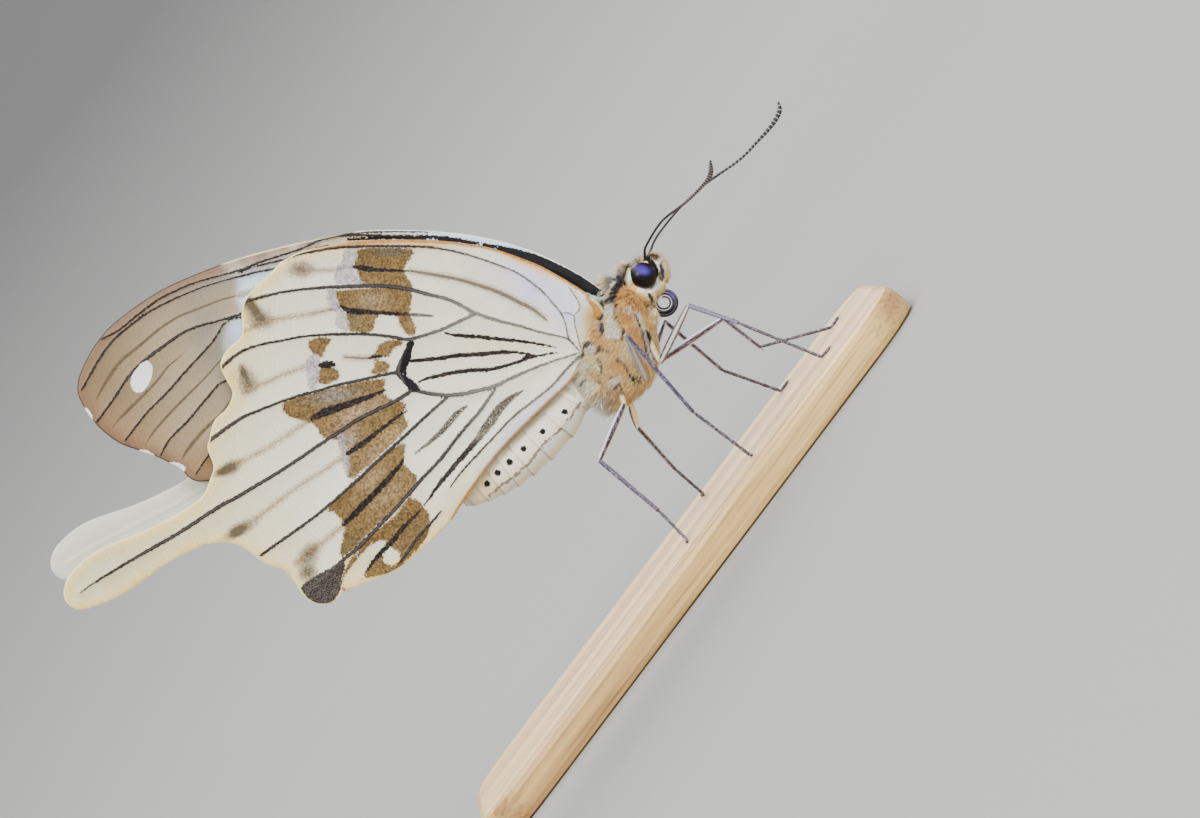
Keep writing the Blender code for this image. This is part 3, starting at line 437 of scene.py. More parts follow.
HINDWING_ORANGE = {
    "lobe": [
        (-1.2, -0.9, 0.14), (-0.4, -1.7, 0.28), (-0.1, -2.6, 0.46), (-0.2, -3.6, 0.62), (-0.6, -4.6, 0.6),
        (-1.2, -5.4, 0.3),
    ],
    "costa": [
        (-1, -0.6, 0.16), (-2.3, 0.3, 0.17), (-3.8, 1.25, 0.18), (-5.8, 2.35, 0.18), (-7.8, 3.15, 0.18),
        (-9.8, 3.85, 0.18), (-11.8, 4.35, 0.18), (-15.8, 4.85, 0.22), (-19.8, 4.95, 0.28),
        (-23.8, 4.8, 0.28), (-27.8, 4.15, 0.2), (-29.8, 3.65, 0.12),
    ],
    "inner margin": [
        (-2, -7.4, 0.1), (-2.9, -9, 0.14), (-5.8, -11.8, 0.16), (-9.8, -15.9, 0.17), (-12.8, -19.9, 0.18),
        (-14.6, -22.7, 0.15),
    ],
}
# The forewing's cream ground, painted bluish as it looks in the shade of the hindwing lying over it: painted
# shade.
FOREWING_SHADED_GROUND = (203, 218, 232)
FOREWING_TAN = (190, 177, 158)
FOREWING_BORDER = {
    "border": [
        (-36.2, 1.1), (-36.1, -0.8), (-35.6, -2.2), (-37, -3.4), (-37.4, -5.6), (-36.6, -7.6), (-34.8, -9.5),
        (-33.4, -11.4), (-33.2, -13.6), (-35, -16.5), (-37, -20.5), (-46, -19.5), (-54, -14), (-54, -6),
        (-48, -1), (-40, 3),
    ],
}
FOREWING_WASHES = {
    "apex warmth": (-49.5, -9, 5, 8, 0.3, 0.6, (168, 138, 106)),
    "margin": (-47, -15, 7, 2.4, -0.5, 0.55, (190, 148, 122)),
    "inner grey": (-38.4, -5, 2.2, 5, 0.4, 0.6, (170, 164, 156)),
    "tornus": (-39, -17.5, 2, 2, 0, 0.6, (176, 134, 98)),
    "costal pink": (-43, 0.2, 9, 1.3, 0.5, 0.75, (184, 166, 162)),
    "costal pink inner": (-33, 3.7, 8, 1, 0.28, 0.85, (190, 170, 162)),
    "costal cream": (-22, 5.2, 8, 0.7, 0, 0.8, (216, 196, 178)),
    "costal grey": (-34.5, 2, 6, 0.7, 0.3, 0.8, (180, 176, 182)),
    # Painted highlight: a pale lilac band standing for light glancing off the glossy costal edge.
    "costal highlight": (-11, 4.4, 7.5, 1.3, -0.32, 0.9, (206, 212, 242)),
}
FOREWING_DARK_LINES = {
    "costa": [
        (-25, 5, 0.16), (-21.8, 5.2, 0.2), (-18.8, 5.25, 0.24), (-15.8, 5.12, 0.28), (-13.8, 4.86, 0.28),
        (-11.8, 4.5, 0.24), (-10.2, 4.2, 0.3), (-8.7, 3.8, 0.4), (-7.1, 3.32, 0.48), (-5.6, 2.76, 0.52),
        (-4, 2.02, 0.62), (-2.5, 1.17, 0.7), (-0.9, 0.36, 0.7), (0.2, -0.2, 0.5),
    ],
}
# Painted highlight: a thin bluish-white line along the edge of the costa.
FOREWING_RIM_HIGHLIGHT = {
    "costa": [
        (0.3, 0.1, 0.1), (-1.8, 1.55, 0.12), (-4.8, 3.1, 0.12), (-7.8, 4.3, 0.12), (-11.8, 5.3, 0.1),
        (-15.8, 5.85, 0.1), (-19.8, 5.95, 0.08), (-24.8, 5.8, 0.05),
    ],
}

RIB_CENTRE = np.array((-6.0, -4.0))
# How bright a reflectance shows in the picture under the stage's light, as 8 bit sRGB
SHOWN = (0, 8, 16, 32, 48, 64, 90, 118, 145, 170, 185, 197, 209, 217)
REFLECTED = (
    0.001, 0.002, 0.0039, 0.0091, 0.0168, 0.0268, 0.0486, 0.0824, 0.135, 0.229, 0.33, 0.46, 0.675, 0.9,
)
SHOWN_TO_PIGMENT = np.array(
    ((0.816, 0.176, 0.008), (0.025, 1.071, -0.096), (-0.094, 0.132, 0.962))
)

# How finely a wing is meshed, in the plan
SHEET_GRID = 0.34
EDGE_STEP = 0.26
VEIN_STEP = 0.22
VEIN_FOOT = 0.17
STREAK_STEP = 0.3
EDGE_CLEARANCE = 0.11
CELL = 0.12
CDT_NEARNESS = 1e-4

# Relief of a wing
VEIN_WIDTH = 0.14
PLEAT_WIDTH = 1.1
PLEAT_DEPTH = 0.17
EDGE_FADE = 0.5
EDGE_THINNESS = 0.35
BORDER_SOFTNESS = 1.6
MARGIN_WIDTH = 0.9
MAP_MARGIN = 0.02
MAP_WALL = 0.008
RIB_TURNS = 2 * math.pi / 0.43
# How far from RIB_CENTRE the pale margin begins, over what width, and how strong it is
MARGIN_START = 18.0
MARGIN_RISE = 6.0
MARGIN_STRENGTH = 0.75

# Pattern cells to a metre
WING_GRAINS = 7200.0
WING_SPECKS = 5600.0
WING_DUST = 9000.0
BODY_GRAINS = 5200.0
BODY_CLUMPS = 3400.0
FACETS = 16000.0

# Stage
SENSOR_WIDTH = 36.0
COVE_STEPS = 24
COVE_SIDES = 96

# Body marks: u and v of the centre, two radii, turn, strength and colour
BODY_GROUND = (212, 180, 142)
BODY_WASHES = {
    "abdomen": (-9, -16.2, 10.5, 4.6, 0.85, 1, (204, 194, 186)),
    "abdomen tip": (-13, -21, 4, 2.5, 0.85, 1, (196, 186, 168)),
    "orange middle": (2.6, -3.2, 2.2, 3, 0.3, 0.9, (216, 174, 124)),
    "orange lower": (1.4, -7.6, 2, 2.2, -0.5, 0.9, (216, 174, 122)),
    "neck orange": (2.9, -0.8, 1.8, 1.4, -0.5, 0.95, (216, 162, 92)),
    "neck line": (2.4, -0.8, 1.2, 0.32, -0.75, 1, (216, 146, 62)),
    "neck line lower": (3.8, -1.6, 0.6, 0.6, -0.8, 0.9, (206, 144, 74)),
    "shoulder orange": (2.6, -2.8, 1, 0.7, -0.2, 0.95, (212, 148, 68)),
    "flank orange": (3.6, -4.8, 0.7, 1.4, 0.35, 0.75, (186, 138, 80)),
    "flank cream": (2.8, -6.2, 0.8, 1.2, 0.3, 0.85, (215, 188, 164)),
    "front buff": (5.4, -2.8, 0.9, 2.8, 0.15, 0.95, (210, 182, 148)),
    "front orange": (4.8, -2.8, 0.34, 1.4, 0.4, 0.8, (214, 162, 96)),
    "front tips": (5.9, -2.8, 0.4, 2.6, 0.08, 0.9, (206, 192, 168)),
    "hinge orange": (-0.2, -4.8, 0.9, 1.2, 0, 0.9, (208, 150, 80)),
    "hinge blush": (0.8, -5.6, 1, 0.6, -0.2, 0.8, (212, 168, 116)),
    "lower orange": (2, -7.8, 1.1, 0.6, -0.75, 0.9, (214, 156, 86)),
    "rear cream": (-0.5, -7.6, 0.65, 1, 0.25, 0.95, (215, 194, 172)),
    "rear orange": (-0.7, -8.4, 0.4, 0.4, 0, 0.8, (208, 158, 92)),
    "lobe": (4.9, -8.4, 0.9, 1.1, 0.5, 0.95, (214, 190, 162)),
    "lobe orange": (4.4, -7.2, 0.36, 1.2, 0.42, 0.9, (214, 152, 76)),
    "hind hip": (3.3, -10.4, 0.9, 1.1, 0.1, 0.95, (216, 172, 116)),
    "hind hip tips": (3.9, -10.6, 0.3, 1, 0.1, 0.9, (208, 188, 162)),
    "belly": (0.4, -10.8, 1.9, 1.1, 0.35, 0.9, (172, 146, 104)),
    "belly rear": (-0.7, -11.8, 1.2, 0.8, 0.4, 0.85, (184, 164, 132)),
    "belly pale": (-0.8, -9.8, 0.8, 0.7, 0, 0.85, (210, 192, 180)),
    "rear flank": (-1.9, -10.2, 1.2, 1.9, 0.2, 0.9, (218, 200, 192)),
    "grey neck hair": (1.2, 1.1, 0.8, 0.6, -0.2, 0.95, (74, 70, 70)),
    "grey tuft": (0.8, 0.3, 0.6, 0.4, 0, 0.95, (158, 152, 142)),
    "white tuft": (1.5, 0.6, 0.4, 0.4, 0, 1, (236, 240, 248)),
    "grey flap": (0.2, -0.6, 0.6, 0.7, 0.3, 0.95, (206, 204, 196)),
    "dark band": (1.2, -0.9, 0.44, 0.6, 0, 0.9, (60, 52, 54)),
    "white upper": (0.9, -2, 0.6, 0.72, -0.5, 1, (244, 244, 244)),
    "white middle": (1.2, -3.5, 0.6, 0.7, 0.4, 1, (242, 238, 236)),
    "white middle low": (1.7, -4.4, 0.5, 0.42, -0.3, 1, (240, 232, 228)),
    "white middle side": (0.8, -4.3, 0.3, 0.5, 0.3, 0.8, (232, 220, 210)),
    "white shoulder": (2.9, -1.9, 0.44, 0.4, 0.4, 0.95, (240, 238, 242)),
    "lilac line": (0.1, -3.7, 0.24, 0.8, -0.1, 0.9, (132, 124, 138)),
    "stripe top": (3.9, -2.8, 0.32, 0.9, 0.45, 1, (222, 226, 244)),
    "stripe middle": (4.6, -4.5, 0.26, 1.2, 0.26, 1, (240, 242, 248)),
    "stripe foot": (5.2, -6.4, 0.28, 1, 0.3, 1, (220, 220, 214)),
    "fore hip end": (5.6, -7.1, 0.5, 0.34, 0, 0.95, (218, 216, 206)),
    "grey stripe": (3.4, -6.7, 0.19, 1.3, 0.4, 0.95, (176, 178, 176)),
    "grey stripe lower": (4.2, -7.8, 0.24, 1, 0.4, 0.9, (158, 156, 152)),
    "hinge white": (-0.9, -5.9, 0.6, 0.44, 0, 1, (234, 236, 252)),
    "hinge white lower": (-1.6, -7.6, 0.4, 0.46, 0.2, 1, (230, 232, 246)),
    "white low": (1.3, -9.2, 0.44, 0.5, 0, 1, (232, 228, 234)),
    "pale low": (2, -8.9, 0.34, 0.5, 0.2, 0.9, (206, 198, 192)),
    "nape": (2.4, 1.8, 0.7, 0.9, -0.4, 0.95, (118, 106, 94)),
    "nape cream": (2.9, 1.4, 0.4, 1, 0.1, 0.95, (196, 182, 160)),
    "crown": (3.6, 3.2, 0.8, 0.5, 0.35, 0.95, (76, 70, 66)),
    "crown tan": (3.3, 2.7, 0.5, 0.3, 0.5, 0.85, (168, 146, 112)),
    "eye rear rim": (3.05, 1.1, 0.13, 0.8, -0.1, 0.9, (236, 232, 222)),
    "cheek": (5, 0.1, 1.3, 0.4, 0.15, 1, (222, 216, 204)),
    "face": (6.2, 2, 0.8, 1.7, -0.2, 1, (204, 190, 176)),
    "face white": (5.9, 2.4, 0.3, 0.5, 0.5, 1, (232, 232, 224)),
    "face low": (5.8, 0.6, 0.5, 0.6, 0, 1, (214, 208, 196)),
    "face brown": (5.6, 3.2, 0.36, 0.22, -0.6, 0.95, (84, 50, 38)),
    "face brown side": (6.2, 1.7, 0.15, 0.8, -0.1, 0.85, (96, 62, 48)),
    "face top": (6.1, 3.4, 0.3, 0.3, 0, 0.8, (196, 176, 152)),
    "palp golden": (6.9, 1, 0.3, 0.36, 0, 1, (180, 160, 84)),
    "antenna root": (4.85, 3.2, 0.16, 0.2, 0, 1, (232, 240, 244)),
}
BODY_BLACK = {
    "hinge oval": [(0, -1.4, 0.22), (0, -2.1, 0.36), (0.05, -2.8, 0.2)],
    "hinge arc": [(-1.5, -5.6, 0.16), (-1.2, -5.3, 0.14), (-0.6, -5.4, 0.08)],
    "hinge edge": [(-1.6, -6.2, 0.12), (-1.8, -6.7, 0.1)],
    "first dot": [(-0.1, -5.6, 0.11), (0.1, -5.8, 0.12)],
    "second dot": [(0.4, -5.95, 0.1), (0.9, -6.05, 0.1)],
    "furrow": [
        (1.4, -6.5, 0.05), (1.9, -7, 0.1), (2.4, -7.3, 0.09), (2.7, -7.9, 0.06), (3.1, -8.4, 0.1),
        (3.5, -9.1, 0.09), (3.9, -9.5, 0.05),
    ],
    "rear mark": [(-0.1, -6.8, 0.06), (0, -7.2, 0.13), (0.2, -7.8, 0.07), (0.2, -8.3, 0.04)],
    "low mark": [(0.9, -8.8, 0.05), (1.3, -8.6, 0.06)],
    "belly line": [(-0.4, -9, 0.04), (0, -9.2, 0.07), (0.5, -9.6, 0.04)],
    "tail line": [(-1.3, -8.9, 0.05), (-1.7, -9.2, 0.08), (-1.9, -9.6, 0.06)],
    "neck upper": [(1.9, 1.3, 0.16), (2.1, 0.8, 0.26), (1.7, 0.2, 0.26)],
    "neck lower": [(1.4, 0, 0.22), (1.5, -0.4, 0.24), (1.3, -1, 0.14), (0.7, -1, 0.2)],
    "shoulder line": [(1.5, -2.8, 0.04), (1.8, -3, 0.07), (2, -3.3, 0.05)],
    "stripe edge": [
        (3.5, -2.3, 0.05), (3.9, -3.2, 0.06), (4.3, -4.3, 0.06), (4.6, -5.5, 0.07), (4.9, -6.6, 0.05),
    ],
    "fore hip": [(4.7, -4, 0.06), (5, -4.6, 0.12), (5.2, -5.2, 0.12), (5.3, -5.9, 0.06), (5.6, -6.7, 0.09)],
    "rear hip": [(2.2, -9.6, 0.05), (2.4, -10.3, 0.08), (2.55, -11, 0.1)],
    # Painted shadow: a dark line in the gap between the eye and the palps.
    "eye front shadow": [(4.7, 3.5, 0.12), (5.1, 3, 0.22), (5.5, 2.5, 0.22), (5.8, 1.9, 0.12), (5.9, 1.4, 0.05)],
    "palp stroke": [(6.2, 2.4, 0.1), (6.4, 2, 0.14), (6.45, 1.5, 0.08), (6.35, 1, 0.04)],
    "brow stroke": [(5, 3.6, 0.06), (5.5, 3.5, 0.12), (6, 3.3, 0.08)],
    "eye below": [(5, -0.4, 0.05), (5.3, -0.8, 0.1), (5.4, -1.3, 0.05)],
    "lobe line": [(3.6, -8.6, 0.05), (4, -8.8, 0.08), (4.5, -9.4, 0.04)],
    "nape line": [(2.6, 0.6, 0.05), (2.4, 1.3, 0.09), (2.7, 2, 0.06), (3.1, 2.7, 0.08)],
    "hinge gap": [(0.2, -3, 0.1), (0.3, -3.7, 0.12), (0.2, -4.4, 0.06)],
    "shoulder edge": [(1.7, -1.2, 0.04), (1.5, -2.2, 0.07), (1.7, -2.9, 0.04)],
    "white edge": [(-0.4, -6.3, 0.1), (-0.2, -6, 0.08)],
    "hip edge": [(1.5, -9.9, 0.05), (1.8, -9.5, 0.09), (2.1, -9.2, 0.04)],
    "middle edge": [(2.2, -3.4, 0.03), (2.4, -4.2, 0.07), (2.2, -5, 0.03)],
}
SPIRACLES = (
    (-3.4, -12.1), (-5.6, -14.1), (-7.5, -15.8), (-8.9, -17.1), (-10.1, -18.2), (-11.1, -19.3),
)
SPIRACLE_RADIUS = 0.24
SEGMENT_EDGES = [
    (-3.2, -10.8), (-4.5, -13.1), (-6.6, -15), (-8.2, -16.5), (-9.5, -17.7), (-10.6, -18.8), (-11.9, -20),
    (-13, -20.9),
]
FLANK_LINE = [
    (-1.8, -11.2, 0.06), (-3.5, -13.5, 0.11), (-5.5, -15.3, 0.12), (-6.8, -17, 0.1), (-8.3, -18.5, 0.11),
    (-9.5, -19.3, 0.12), (-10.8, -20.5, 0.09),
]
UNDERSIDE = [
    (-1.9, -11.5), (-3.65, -13.75), (-5.65, -15.55), (-6.95, -17.25), (-8.45, -18.75), (-9.65, -19.55),
    (-10.95, -20.75), (-14, -21.5), (-11, -23), (-4, -19), (2, -13.6), (0.6, -10.8),
]
UNDERSIDE_COLOUR = (180, 188, 186)
COAT_LIFT = 0.32

# Body, in its own axes: s runs towards the head, t towards the underside
THORAX_STATIONS = [
    (6.2, -2.7, -1, 0.45), (5.6, -3.1, -0.7, 0.65), (5, -3.7, -0.2, 1.6), (4.4, -4.2, 0.8, 2.4),
    (3.9, -4.5, 1.9, 2.7), (2.6, -4.8, 3.1, 3.2), (1, -5, 4, 3.4), (-1, -4.9, 4.6, 3.4),
    (-3, -4.4, 4.4, 3.2), (-4.6, -3.6, 3.5, 2.8), (-6, -2.9, 2.2, 2.3), (-6.6, -2.2, 1.2, 1.6),
]
THORAX_SQUARENESS = 2.3
ABDOMEN_RING_STEP = 0.13
SEGMENT_SWELL = 0.11
# Folds of the segments' edges on the underside
RIPPLE_DEPTH = 0.09
RIPPLE_WAVES = np.array((3.2, 2.1))
FIRST_GROOVE = 1.5
BODY_SIDES = 48
HEAD_CENTRE = (4.8, 1.7)
HEAD_RADII = (1.5, 1.65, 1.6)
EYE_CENTRE = (4.45, 1.45, 1.15)
EYE_RADII = (1.3, 1.42, 1.15)
EYE_INNER_FACE = 0.95
PALP_LINE = [
    (5.5, -0.2, 0.5, 0.4), (6.1, 0.4, 0.5, 0.5), (6.4, 1.2, 0.5, 0.52), (6.35, 2.1, 0.5, 0.48),
    (6.1, 2.8, 0.45, 0.36), (5.9, 3.2, 0.4, 0.22),
]
# u, v and y of the left side, then radii along, across and sideways
BODY_BULGES = {
    "fore coxa": (4.6, -3.6, 1.3, 2.1, 0.75, 0.9),
    "mid coxa": (3.4, -6.6, 1.6, 1.9, 1, 0.9),
    "hind coxa": (1.6, -8.9, 1.5, 1.7, 1, 0.95),
    "collar": (1.4, 0.1, 0.9, 0.9, 0.8, 0.8),
    "neck": (3.9, -0.3, 0.5, 1.3, 1.3, 1.05),
    "nape": (3.1, 1.2, 0.5, 1.1, 1, 1.1),
    "throat": (5, -0.6, 0.4, 0.9, 0.8, 0.9),
    "face": (5.45, 2.1, 0.25, 0.95, 1.25, 0.75),
    "brow": (5.3, 2.8, 0.3, 0.8, 0.55, 0.6),
    "hackle": (2.4, 0.7, 0.3, 0.9, 0.85, 0.8),
}
# How far the skin lies inside the solids: flank, back and belly of the thorax, then the abdomen and head
FLANK_COAT = 0.35
BACK_COAT = 0.4
BELLY_COAT = 0.5
SCALE_COAT = 0.12
HEAD_COAT = 0.26
NECK_RADIUS = 0.7
SKIN_VOXEL = 0.11
SKIN_SMOOTHING = 3

# Coat
BLADE_WAIST = 0.45
BLADE_WAIST_WIDTH = 1.5
LIE_SCATTER = 0.27
MARK_SCATTER = 0.05
ROOT_DEPTH = 0.04
MAP_PATCH = 0.0015
HEAD_START = 5.3
# Where the coat's map runs up the body
SPINE = [
    (-13.9, -21.8), (-11.6, -19.8), (-8.5, -17.4), (-5.2, -14.3), (-3, -11.3), (-0.6, -8.6), (2.2, -5.5),
    (3.6, -2.4), (4.4, 0.2), (5.2, 2.6), (5.9, 4.4),
]
# Length, width and lift of hairs and scales in millimetres, and how far their tips differ
HAIR_LENGTH = {
    "thorax": 0.95, "under": 0.25, "rear": 0.75, "front": 0.3, "waist": 1.1, "waist fade": 0.4, "scale": 0.24,
    "by eye": 0.26, "head": 0.72, "crown": 0.4,
}
HAIR_WIDTH = {"thorax": 0.05, "scale": 0.06, "head": 0.038}
HAIR_LIFT = {
    "thorax": 0.32, "under": 0.5, "rear": 0.4, "front": 0.7, "scale": 0.1, "by eye": 0.3, "head": 0.7,
    "crown": 0.3,
}
HAIR_TIPS = {"thorax": 0.3, "under": 0.3, "head": 0.4, "crown": 0.4}
LENGTH_SPREAD = (0.55, 1.3)
WIDTH_SPREAD = (0.8, 1.2)
LIFT_SPREAD = (0.6, 1.4)
BLADE_FLATNESS = 0.4
BLADE_DROOP = 0.45
WAIST_LENGTH = 1.7
BELLY_START = 2.6
COAT_SEED = 7

# Feelers, tongue and legs: u, v, y and radius
ANTENNA_LINES = {
    "left": [
        (4.9, 3, 0.5, 0.2), (5.2, 3.8, 0.6, 0.15), (6, 5.5, 0.8, 0.13), (8.2, 8.2, 1.2, 0.13),
        (10.5, 10.4, 1.7, 0.14), (14.2, 13, 2.5, 0.15), (16.2, 15, 3, 0.18), (17.7, 16.7, 3.4, 0.25),
        (18.4, 18, 3.7, 0.27), (18.3, 18.9, 3.9, 0.12),
    ],
    "right": [
        (4.7, 3, -0.5, 0.2), (4.6, 3.7, -1, 0.15), (4.7, 4.4, -1.6, 0.13), (5.7, 6.3, -4.2, 0.13),
        (6.5, 7.3, -6.2, 0.14), (8.2, 8.7, -9.6, 0.16), (9.9, 10.6, -13.2, 0.21), (10.3, 11.5, -14.7, 0.27),
        (10.2, 12.6, -15.9, 0.12),
    ],
}
FEELER_STEP = 0.07
FEELER_RINGS = np.array((0.84, 1.0, 1.05, 1.0))
FEELER_BANDS = 2 * math.pi * 48
COIL_CENTRE = (6.62, -1.2)
COIL_RADIUS = 1.42
COIL_INNER_RADIUS = 0.5
COIL_TURNS = 2.9
COIL_START = math.radians(150.0)
COIL_ROOT = (5.3, 0.6)
COIL_STEPS = 150
COIL_STEP = 0.05
COIL_TUBE = 0.23
COIL_TAPER = 0.15
COIL_LEAN = 0.12
COIL_PITCH = 0.3
LEG_FOOT_LENGTH = 1.3
BASE_TOP = 3.5
TOE_HEIGHT = 0.17
# Radii from joint to joint
HIP_RADII = (0.42, 0.38, 0.3)
THIGH_RADII = (0.27, 0.36, 0.36, 0.31, 0.22)
SHIN_RADII = (0.23, 0.24, 0.22, 0.2, 0.21)
FOOT_RADII = (0.12, 0.17, 0.17, 0.15)
TOE_RADII = (0.12, 0.17, 0.14)
FOOT_JOINTS = (0.42, 0.62, 0.8)
SHIN_SPINES = 9
SHIN_SPINE_FIRST = 0.22
SHIN_SPINE_GAP = 0.08
SHIN_SPINE_REACH = 0.34
HIP_COLOURS = ((206, 186, 156), (214, 208, 194), (190, 158, 118))
SPUR_COLOUR = (150, 130, 112)
CLAW_COLOUR = (44, 36, 40)
LEGS = {
    "fore_right": (
        [(4.7, -4.5, -1.6), (6.1, -7.2, -2.3), (8.8, -1.5, -3.6), (13.7, -3.2, -5)], (24.9, -6.6), 0,
    ),
    "fore_left": ([(4.7, -4.5, 1.6), (6.3, -7.2, 2.3), (12.8, -2.9, 4), (16.6, -5.8, 5.4)], (28.4, 7.4), 1),
    "mid_right": ([(4.2, -8, -1.6), (4.7, -8.8, -2.6), (2.5, -4.4, -6.8), (9, -11.9, -8.2)], (11.8, -9.4), 2),
    "mid_left": ([(4.4, -7.6, 1.6), (5, -8.4, 2.4), (7, -3.2, 6.2), (13, -8.2, 8.4)], (20.2, 9.6), 1),
    "hind_right": (
        [(2.2, -10.2, -1.3), (2.5, -11.4, -2.3), (0, -16.9, -4.4), (5.8, -21.8, -5.6)], (1.1, -10.4), 3,
    ),
    "hind_left": ([(2.4, -10, 1.3), (3.4, -11.6, 2.3), (4.2, -13.9, 5.4), (8.1, -18.2, 7.6)], (5.6, 10.2), 4),
}
# Rear edge, middle and front edge of the thigh and of the shin, then the foot
LEG_COLOURS = (
    (
        (84, 48, 40), (206, 206, 204), (64, 54, 60),
        (74, 70, 96), (158, 158, 176), (52, 48, 70), (104, 100, 118),
    ),
    (
        (216, 214, 218), (40, 34, 48), (214, 210, 216),
        (190, 188, 196), (54, 48, 64), (198, 196, 202), (84, 80, 92),
    ),
    (
        (150, 146, 152), (190, 190, 190), (112, 106, 118),
        (112, 106, 136), (66, 60, 84), (128, 124, 146), (88, 84, 104),
    ),
    (
        (216, 214, 216), (30, 25, 34), (214, 210, 214),
        (134, 128, 146), (112, 106, 126), (62, 56, 72), (94, 88, 102),
    ),
    (
        (206, 204, 196), (216, 214, 204), (40, 34, 42),
        (186, 182, 186), (54, 48, 58), (184, 180, 184), (84, 78, 90),
    ),
)

# Plan coordinates

def level(points):
    """World places, in metres, of side plan points given as rows of u, v and y."""
    points = np.asarray(points, dtype=float).reshape(-1, 3)
    u, v, y = points.T
    x = u * math.cos(CLIMB_ANGLE) + v * math.sin(CLIMB_ANGLE) + ROOT_X
    z = -u * math.sin(CLIMB_ANGLE) + v * math.cos(CLIMB_ANGLE) + ROOT_HEIGHT
    return np.column_stack((x, y, z)) * MM


def smooth_path(points, per_span, closed=False):
    """Rows of any width on a Catmull-Rom curve through the given ones."""
    points = np.asarray(points, dtype=float)
    count = len(points)
    spans = count if closed else count - 1
    steps = np.arange(per_span)[:, None] / per_span
    path = []
    for i in range(spans):
        near = [k % count if closed else min(max(k, 0), count - 1) for k in (i - 1, i, i + 1, i + 2)]
        a, b, c, d = points[near]
        path.append(0.5 * (
            2 * b + (c - a) * steps + (2 * a - 5 * b + 4 * c - d) * steps ** 2
            + (3 * b - a - 3 * c + d) * steps ** 3
        ))
    if not closed:
        path.append(points[-1:])
    return np.concatenate(path)


def spaced(path, step):
    """The path's rows at about equal distances in the plan."""
    lengths = np.concatenate(([0.0], np.cumsum(np.hypot(*np.diff(path[:, :2], axis=0).T))))
    goals = np.linspace(0.0, lengths[-1], max(2, round(lengths[-1] / step) + 1))
    return np.column_stack([np.interp(goals, lengths, column) for column in path.T])


def closed_path(outline, per_span=6):
    path = smooth_path(outline, per_span, True)
    return np.vstack((path, path[:1]))


def eased(value):
    value = np.clip(value, 0.0, 1.0)
    return value * value * (3.0 - 2.0 * value)


def line_distance(points, line):
    """Distance of plan points from a line of u, v and half width, less the half width beside them."""
    best = np.full(len(points), FAR)
    for a, b in zip(line, line[1:]):
        span = b[:2] - a[:2]
        along = np.clip((points - a[:2]) @ span / max(span @ span, TINY), 0.0, 1.0)
        away = np.hypot(*(points - a[:2] - along[:, None] * span).T)
        best = np.minimum(best, away - a[2] - (b[2] - a[2]) * along)
    return best


def ring_distance(points, ring):
    """Distance of plan points from a closed ring, negative inside it."""
    best = np.full(len(points), FAR)
    inside = np.zeros(len(points), dtype=bool)
    for a, b in zip(ring, ring[1:]):
        span = b - a
        along = np.clip((points - a) @ span / max(span @ span, TINY), 0.0, 1.0)
        best = np.minimum(best, np.hypot(*(points - a - along[:, None] * span).T))
        if a[1] != b[1]:
            crosses = (a[1] > points[:, 1]) != (b[1] > points[:, 1])
            inside ^= crosses & (points[:, 0] < a[0] + span[0] * (points[:, 1] - a[1]) / span[1])
    return np.where(inside, -best, best)


def nearest_line(points, lines, bare=False):
    """The least line_distance from any of the lines. With bare, half widths don't count."""
    best = np.full(len(points), FAR)
    for line in lines.values():
        path = smooth_path(line, 3)
        if bare:
            path[:, 2] = 0.0
        best = np.minimum(best, line_distance(points, path))
    return best


def nearest_ring(points, rings):
    best = np.full(len(points), FAR)
    for ring in rings.values():
        best = np.minimum(best, ring_distance(points, closed_path(ring, 3)))
    return best


def blot(points, centre_u, centre_v, radius_u, radius_v, turn):
    """A soft round spot: 1 at its centre, fading outwards."""
    du, dv = points[:, 0] - centre_u, points[:, 1] - centre_v
    across = (du * math.cos(turn) + dv * math.sin(turn)) / radius_u
    along = (dv * math.cos(turn) - du * math.sin(turn)) / radius_v
    return np.exp(-(across ** 2 + along ** 2))


# Wings

def forewing_spread(points):
    """Distance of the forewing's middle surface from the median plane."""
    return FOREWING_LAYER + WING_ROOT_SPREAD * np.exp(-np.hypot(*points.T) / WING_ROOT_FADE)


def hindwing_spread(points):
    """The hindwing lies over the forewing and opens round the abdomen."""
    axis = np.array([(*ABDOMEN_LINE[2][:2], 0.0), (*ABDOMEN_LINE[8][:2], 0.0)])
    abdomen = line_distance(points, axis)
    opened = ANAL_SPREAD * np.exp(-((abdomen / ANAL_FADE) ** 2))
    root = WING_ROOT_SPREAD * np.exp(-np.hypot(*points.T) / WING_ROOT_FADE)
    return HINDWING_LAYER + root + opened


def thinned(groups):
    """The points of each group in turn that keep the group's distance from all that are kept before."""
    kept = []
    cells = {}
    for points, nearness in groups:
        reach = int(nearness / CELL) + 1
        for point in points:
            column, row = int(point[0] // CELL), int(point[1] // CELL)
            crowded = False
            for i in range(column - reach, column + reach + 1):
                for j in range(row - reach, row + reach + 1):
                    for other in cells.get((i, j), ()):
                        crowded |= math.dist(point, other) < nearness
            if not crowded:
                place = (float(point[0]), float(point[1]))
                kept.append(place)
                cells.setdefault((column, row), []).append(place)
    return kept


def beside(path, away):
    """The path moved sideways in the plan."""
    along = np.gradient(path[:, :2], axis=0)
    across = np.column_stack((-along[:, 1], along[:, 0]))
    across /= np.maximum(np.hypot(*across.T), TINY)[:, None]
    return path[:, :2] + across * away


